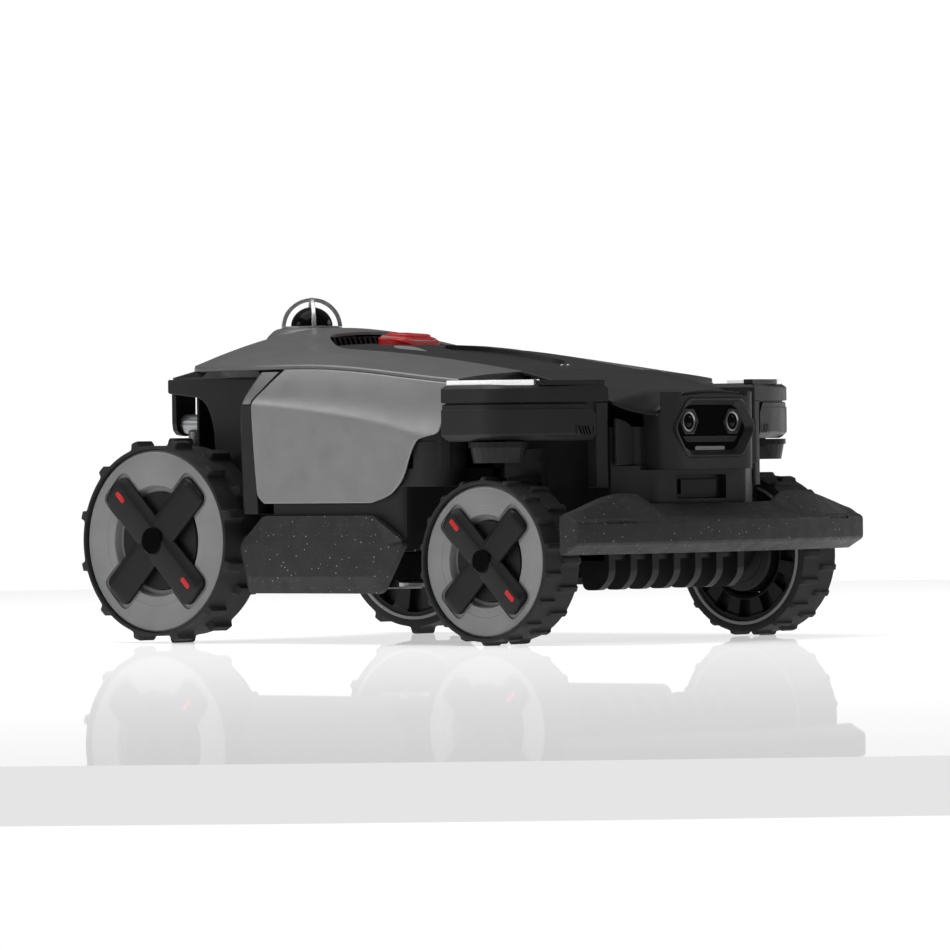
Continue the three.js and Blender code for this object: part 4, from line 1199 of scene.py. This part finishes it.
def bumper_slits(side):
    """One long slit and four short leaning ones, high on one end of the bumper's face."""
    slits = Solid()
    low, high = 126, 129.6
    for start, length, lean in ((206, 22, 0), (181, 2.6, 2.4), (175.5, 2.2, 2.4), (170.5, 1.9, 2.4),
                                (166, 1.5, 2.4)):
        a, b, shift = start * side, (start - length) * side, lean * side
        xa, xb = bumper_front(a), bumper_front(b)
        slits.add(loft([[(xa + d, a, low), (xb + d, b, low), (xb + d, b + shift, high),
                         (xa + d, a + shift, high)] for d in (-2.6, 5)]))
    return slits


for _, side in SIDES:
    cut(bumper, bumper_slits(side))
finish(bumper, "flecked_plastic", "front_bumper", body="bumper", width=0.8, angle=22)
guides = both(rod("x", 262, 308, (40, 122), 6))
add("bumper_guides", guides, "steel", body="bumper", width=0.6)

FIN_PITCH, FIN_THICK, FIN_COUNT = 36.4, 11, 7
fin_line = outline([(226, 99.4), (268, 99.4), (268, 68, 9), (254, 55.2, 5), (233, 55.2, 8)], 6)
fins = Solid()
for i in range(FIN_COUNT):
    y = (i - (FIN_COUNT - 1) / 2) * FIN_PITCH
    fins.add(prism("y", fin_line, y - FIN_THICK / 2, y + FIN_THICK / 2))
reach = (FIN_COUNT - 1) / 2 * FIN_PITCH + FIN_THICK / 2
fins.add(prism("y", outline([(228, 86, 2), (262, 86, 3), (262, 99.6, 1), (228, 99.6, 1)], 3), -reach, reach))
add("grass_comb", fins, "black_plastic", "guard_comb", width=2.4, count=4)

# CAD nodes that keep their shape

NODE_SLOTS = {row["node"]: row["material_slot"] for row in frame["record"]["subparts"]}
for name, node in frame["nodes"].items():
    node.data.materials.clear()
    node.data.materials.append(LOOKS[NODE_SLOTS[name]])
    if node.hide_render:
        continue
    flat = node.modifiers.new("merge", "DECIMATE")
    flat.decimate_type = "DISSOLVE"
    flat.angle_limit = radians(2)
    round_edges(node, 0.5, 2)
    node.modifiers.new("even", "WEIGHTED_NORMAL")

# Floor, backdrop and light


def stage_piece(name, solid, material, **seen_by):
    """A piece of the surroundings, with the kinds of ray that do or don't see it."""
    piece = make(name, solid)
    piece.data.materials.append(material)
    for ray, seen in seen_by.items():
        setattr(piece, f"visible_{ray}", seen)


def floor_material():
    """Pale polished floor, lit from within like a light table, and a mirror at low angles."""
    material, tree, shader, place = new_material("pale_floor")
    fill(tree, shader, {
        "Base Color": ramp(tree, noise(tree, place, 900), [(0.3, 0.8), (0.7, 0.84)]), "Roughness": 0.9,
        "Specular IOR Level": 0, "Emission Color": (1, 1, 1, 1), "Emission Strength": 0.72})
    gloss = add_node(tree, "BsdfGlossy", {"Roughness": 0.012})
    facing = add_node(tree, "LayerWeight", {"Blend": 0.5}).outputs["Facing"]
    blended = add_node(tree, "MixShader", {"Fac": spread(tree, facing, 0.02, 0.42, 0.75, 1),
                                           1: shader.outputs["BSDF"], 2: gloss.outputs["BSDF"]})
    fill(tree, tree.nodes["Material Output"], {"Surface": blended.outputs["Shader"]})
    return material


def glow(name, strength):
    """A surface that shines evenly."""
    material, tree, _, _ = new_material(name)
    light = add_node(tree, "Emission", {"Strength": strength})
    fill(tree, tree.nodes["Material Output"], {"Surface": light.outputs["Emission"]})
    return material


def wall(radius, height, low, start=0, stop=360):
    """A curved wall about the mower, from one bearing to another in degrees."""
    line = [(radius * cos(radians(t)), radius * sin(radians(t))) for t in steps(start, stop, 96)]
    count = len(line)
    points = [(x, y, z) for z in (low, height) for x, y in line]
    return Solid(points, [[i, i + 1, count + i + 1, count + i] for i in range(count - 1)])


stage_piece("floor", prism("z", oval(0, 0, 3600, 96), -40, 0), floor_material())
stage_piece("backdrop", wall(16000, 16000, -3000), glow("white_backdrop", 1.02), diffuse=False, glossy=False,
            shadow=False, transmission=False)
stage_piece("horizon", wall(7000, 800, -60, 85, 175), glow("white_horizon", 1.0), camera=False, diffuse=False,
            shadow=False, transmission=False)


def area_light(name, place, target, size, power):
    """A rectangular lamp turned towards a target, in metres and watts."""
    data = bpy.data.lights.new(name, "AREA")
    data.shape = "RECTANGLE"
    data.size, data.size_y = size
    data.energy = power
    lamp = bpy.data.objects.new(name, data)
    lamp.location = place
    lamp.rotation_mode = "QUATERNION"
    lamp.rotation_quaternion = (Vector(target) - Vector(place)).to_track_quat("-Z", "Y")
    bpy.context.scene.collection.objects.link(lamp)


area_light("overhead", (-0.4, -0.6, 2.6), (0, 0, 0), (2.6, 2.6), 56)
area_light("key", (-2.8, -3.0, 1.5), (0, 0, 0.15), (1.6, 1.0), 17)
area_light("rim", (1.0, 3.4, 1.3), (0, 0, 0.2), (2.4, 0.8), 16)

world = bpy.data.worlds.new("studio")
world.use_nodes = True
tree = world.node_tree
direction = add_node(tree, "TexCoord", {}).outputs["Generated"]
upward = add_node(tree, "SeparateXYZ", {"Vector": direction}).outputs["Z"]
fill(tree, tree.nodes["Background"], {"Color": ramp(tree, upward, [(0.0, 0.05), (0.2, 0.09), (0.7, 0.22)])})
bpy.context.scene.world = world
bpy.context.scene.view_settings.view_transform = "Standard"
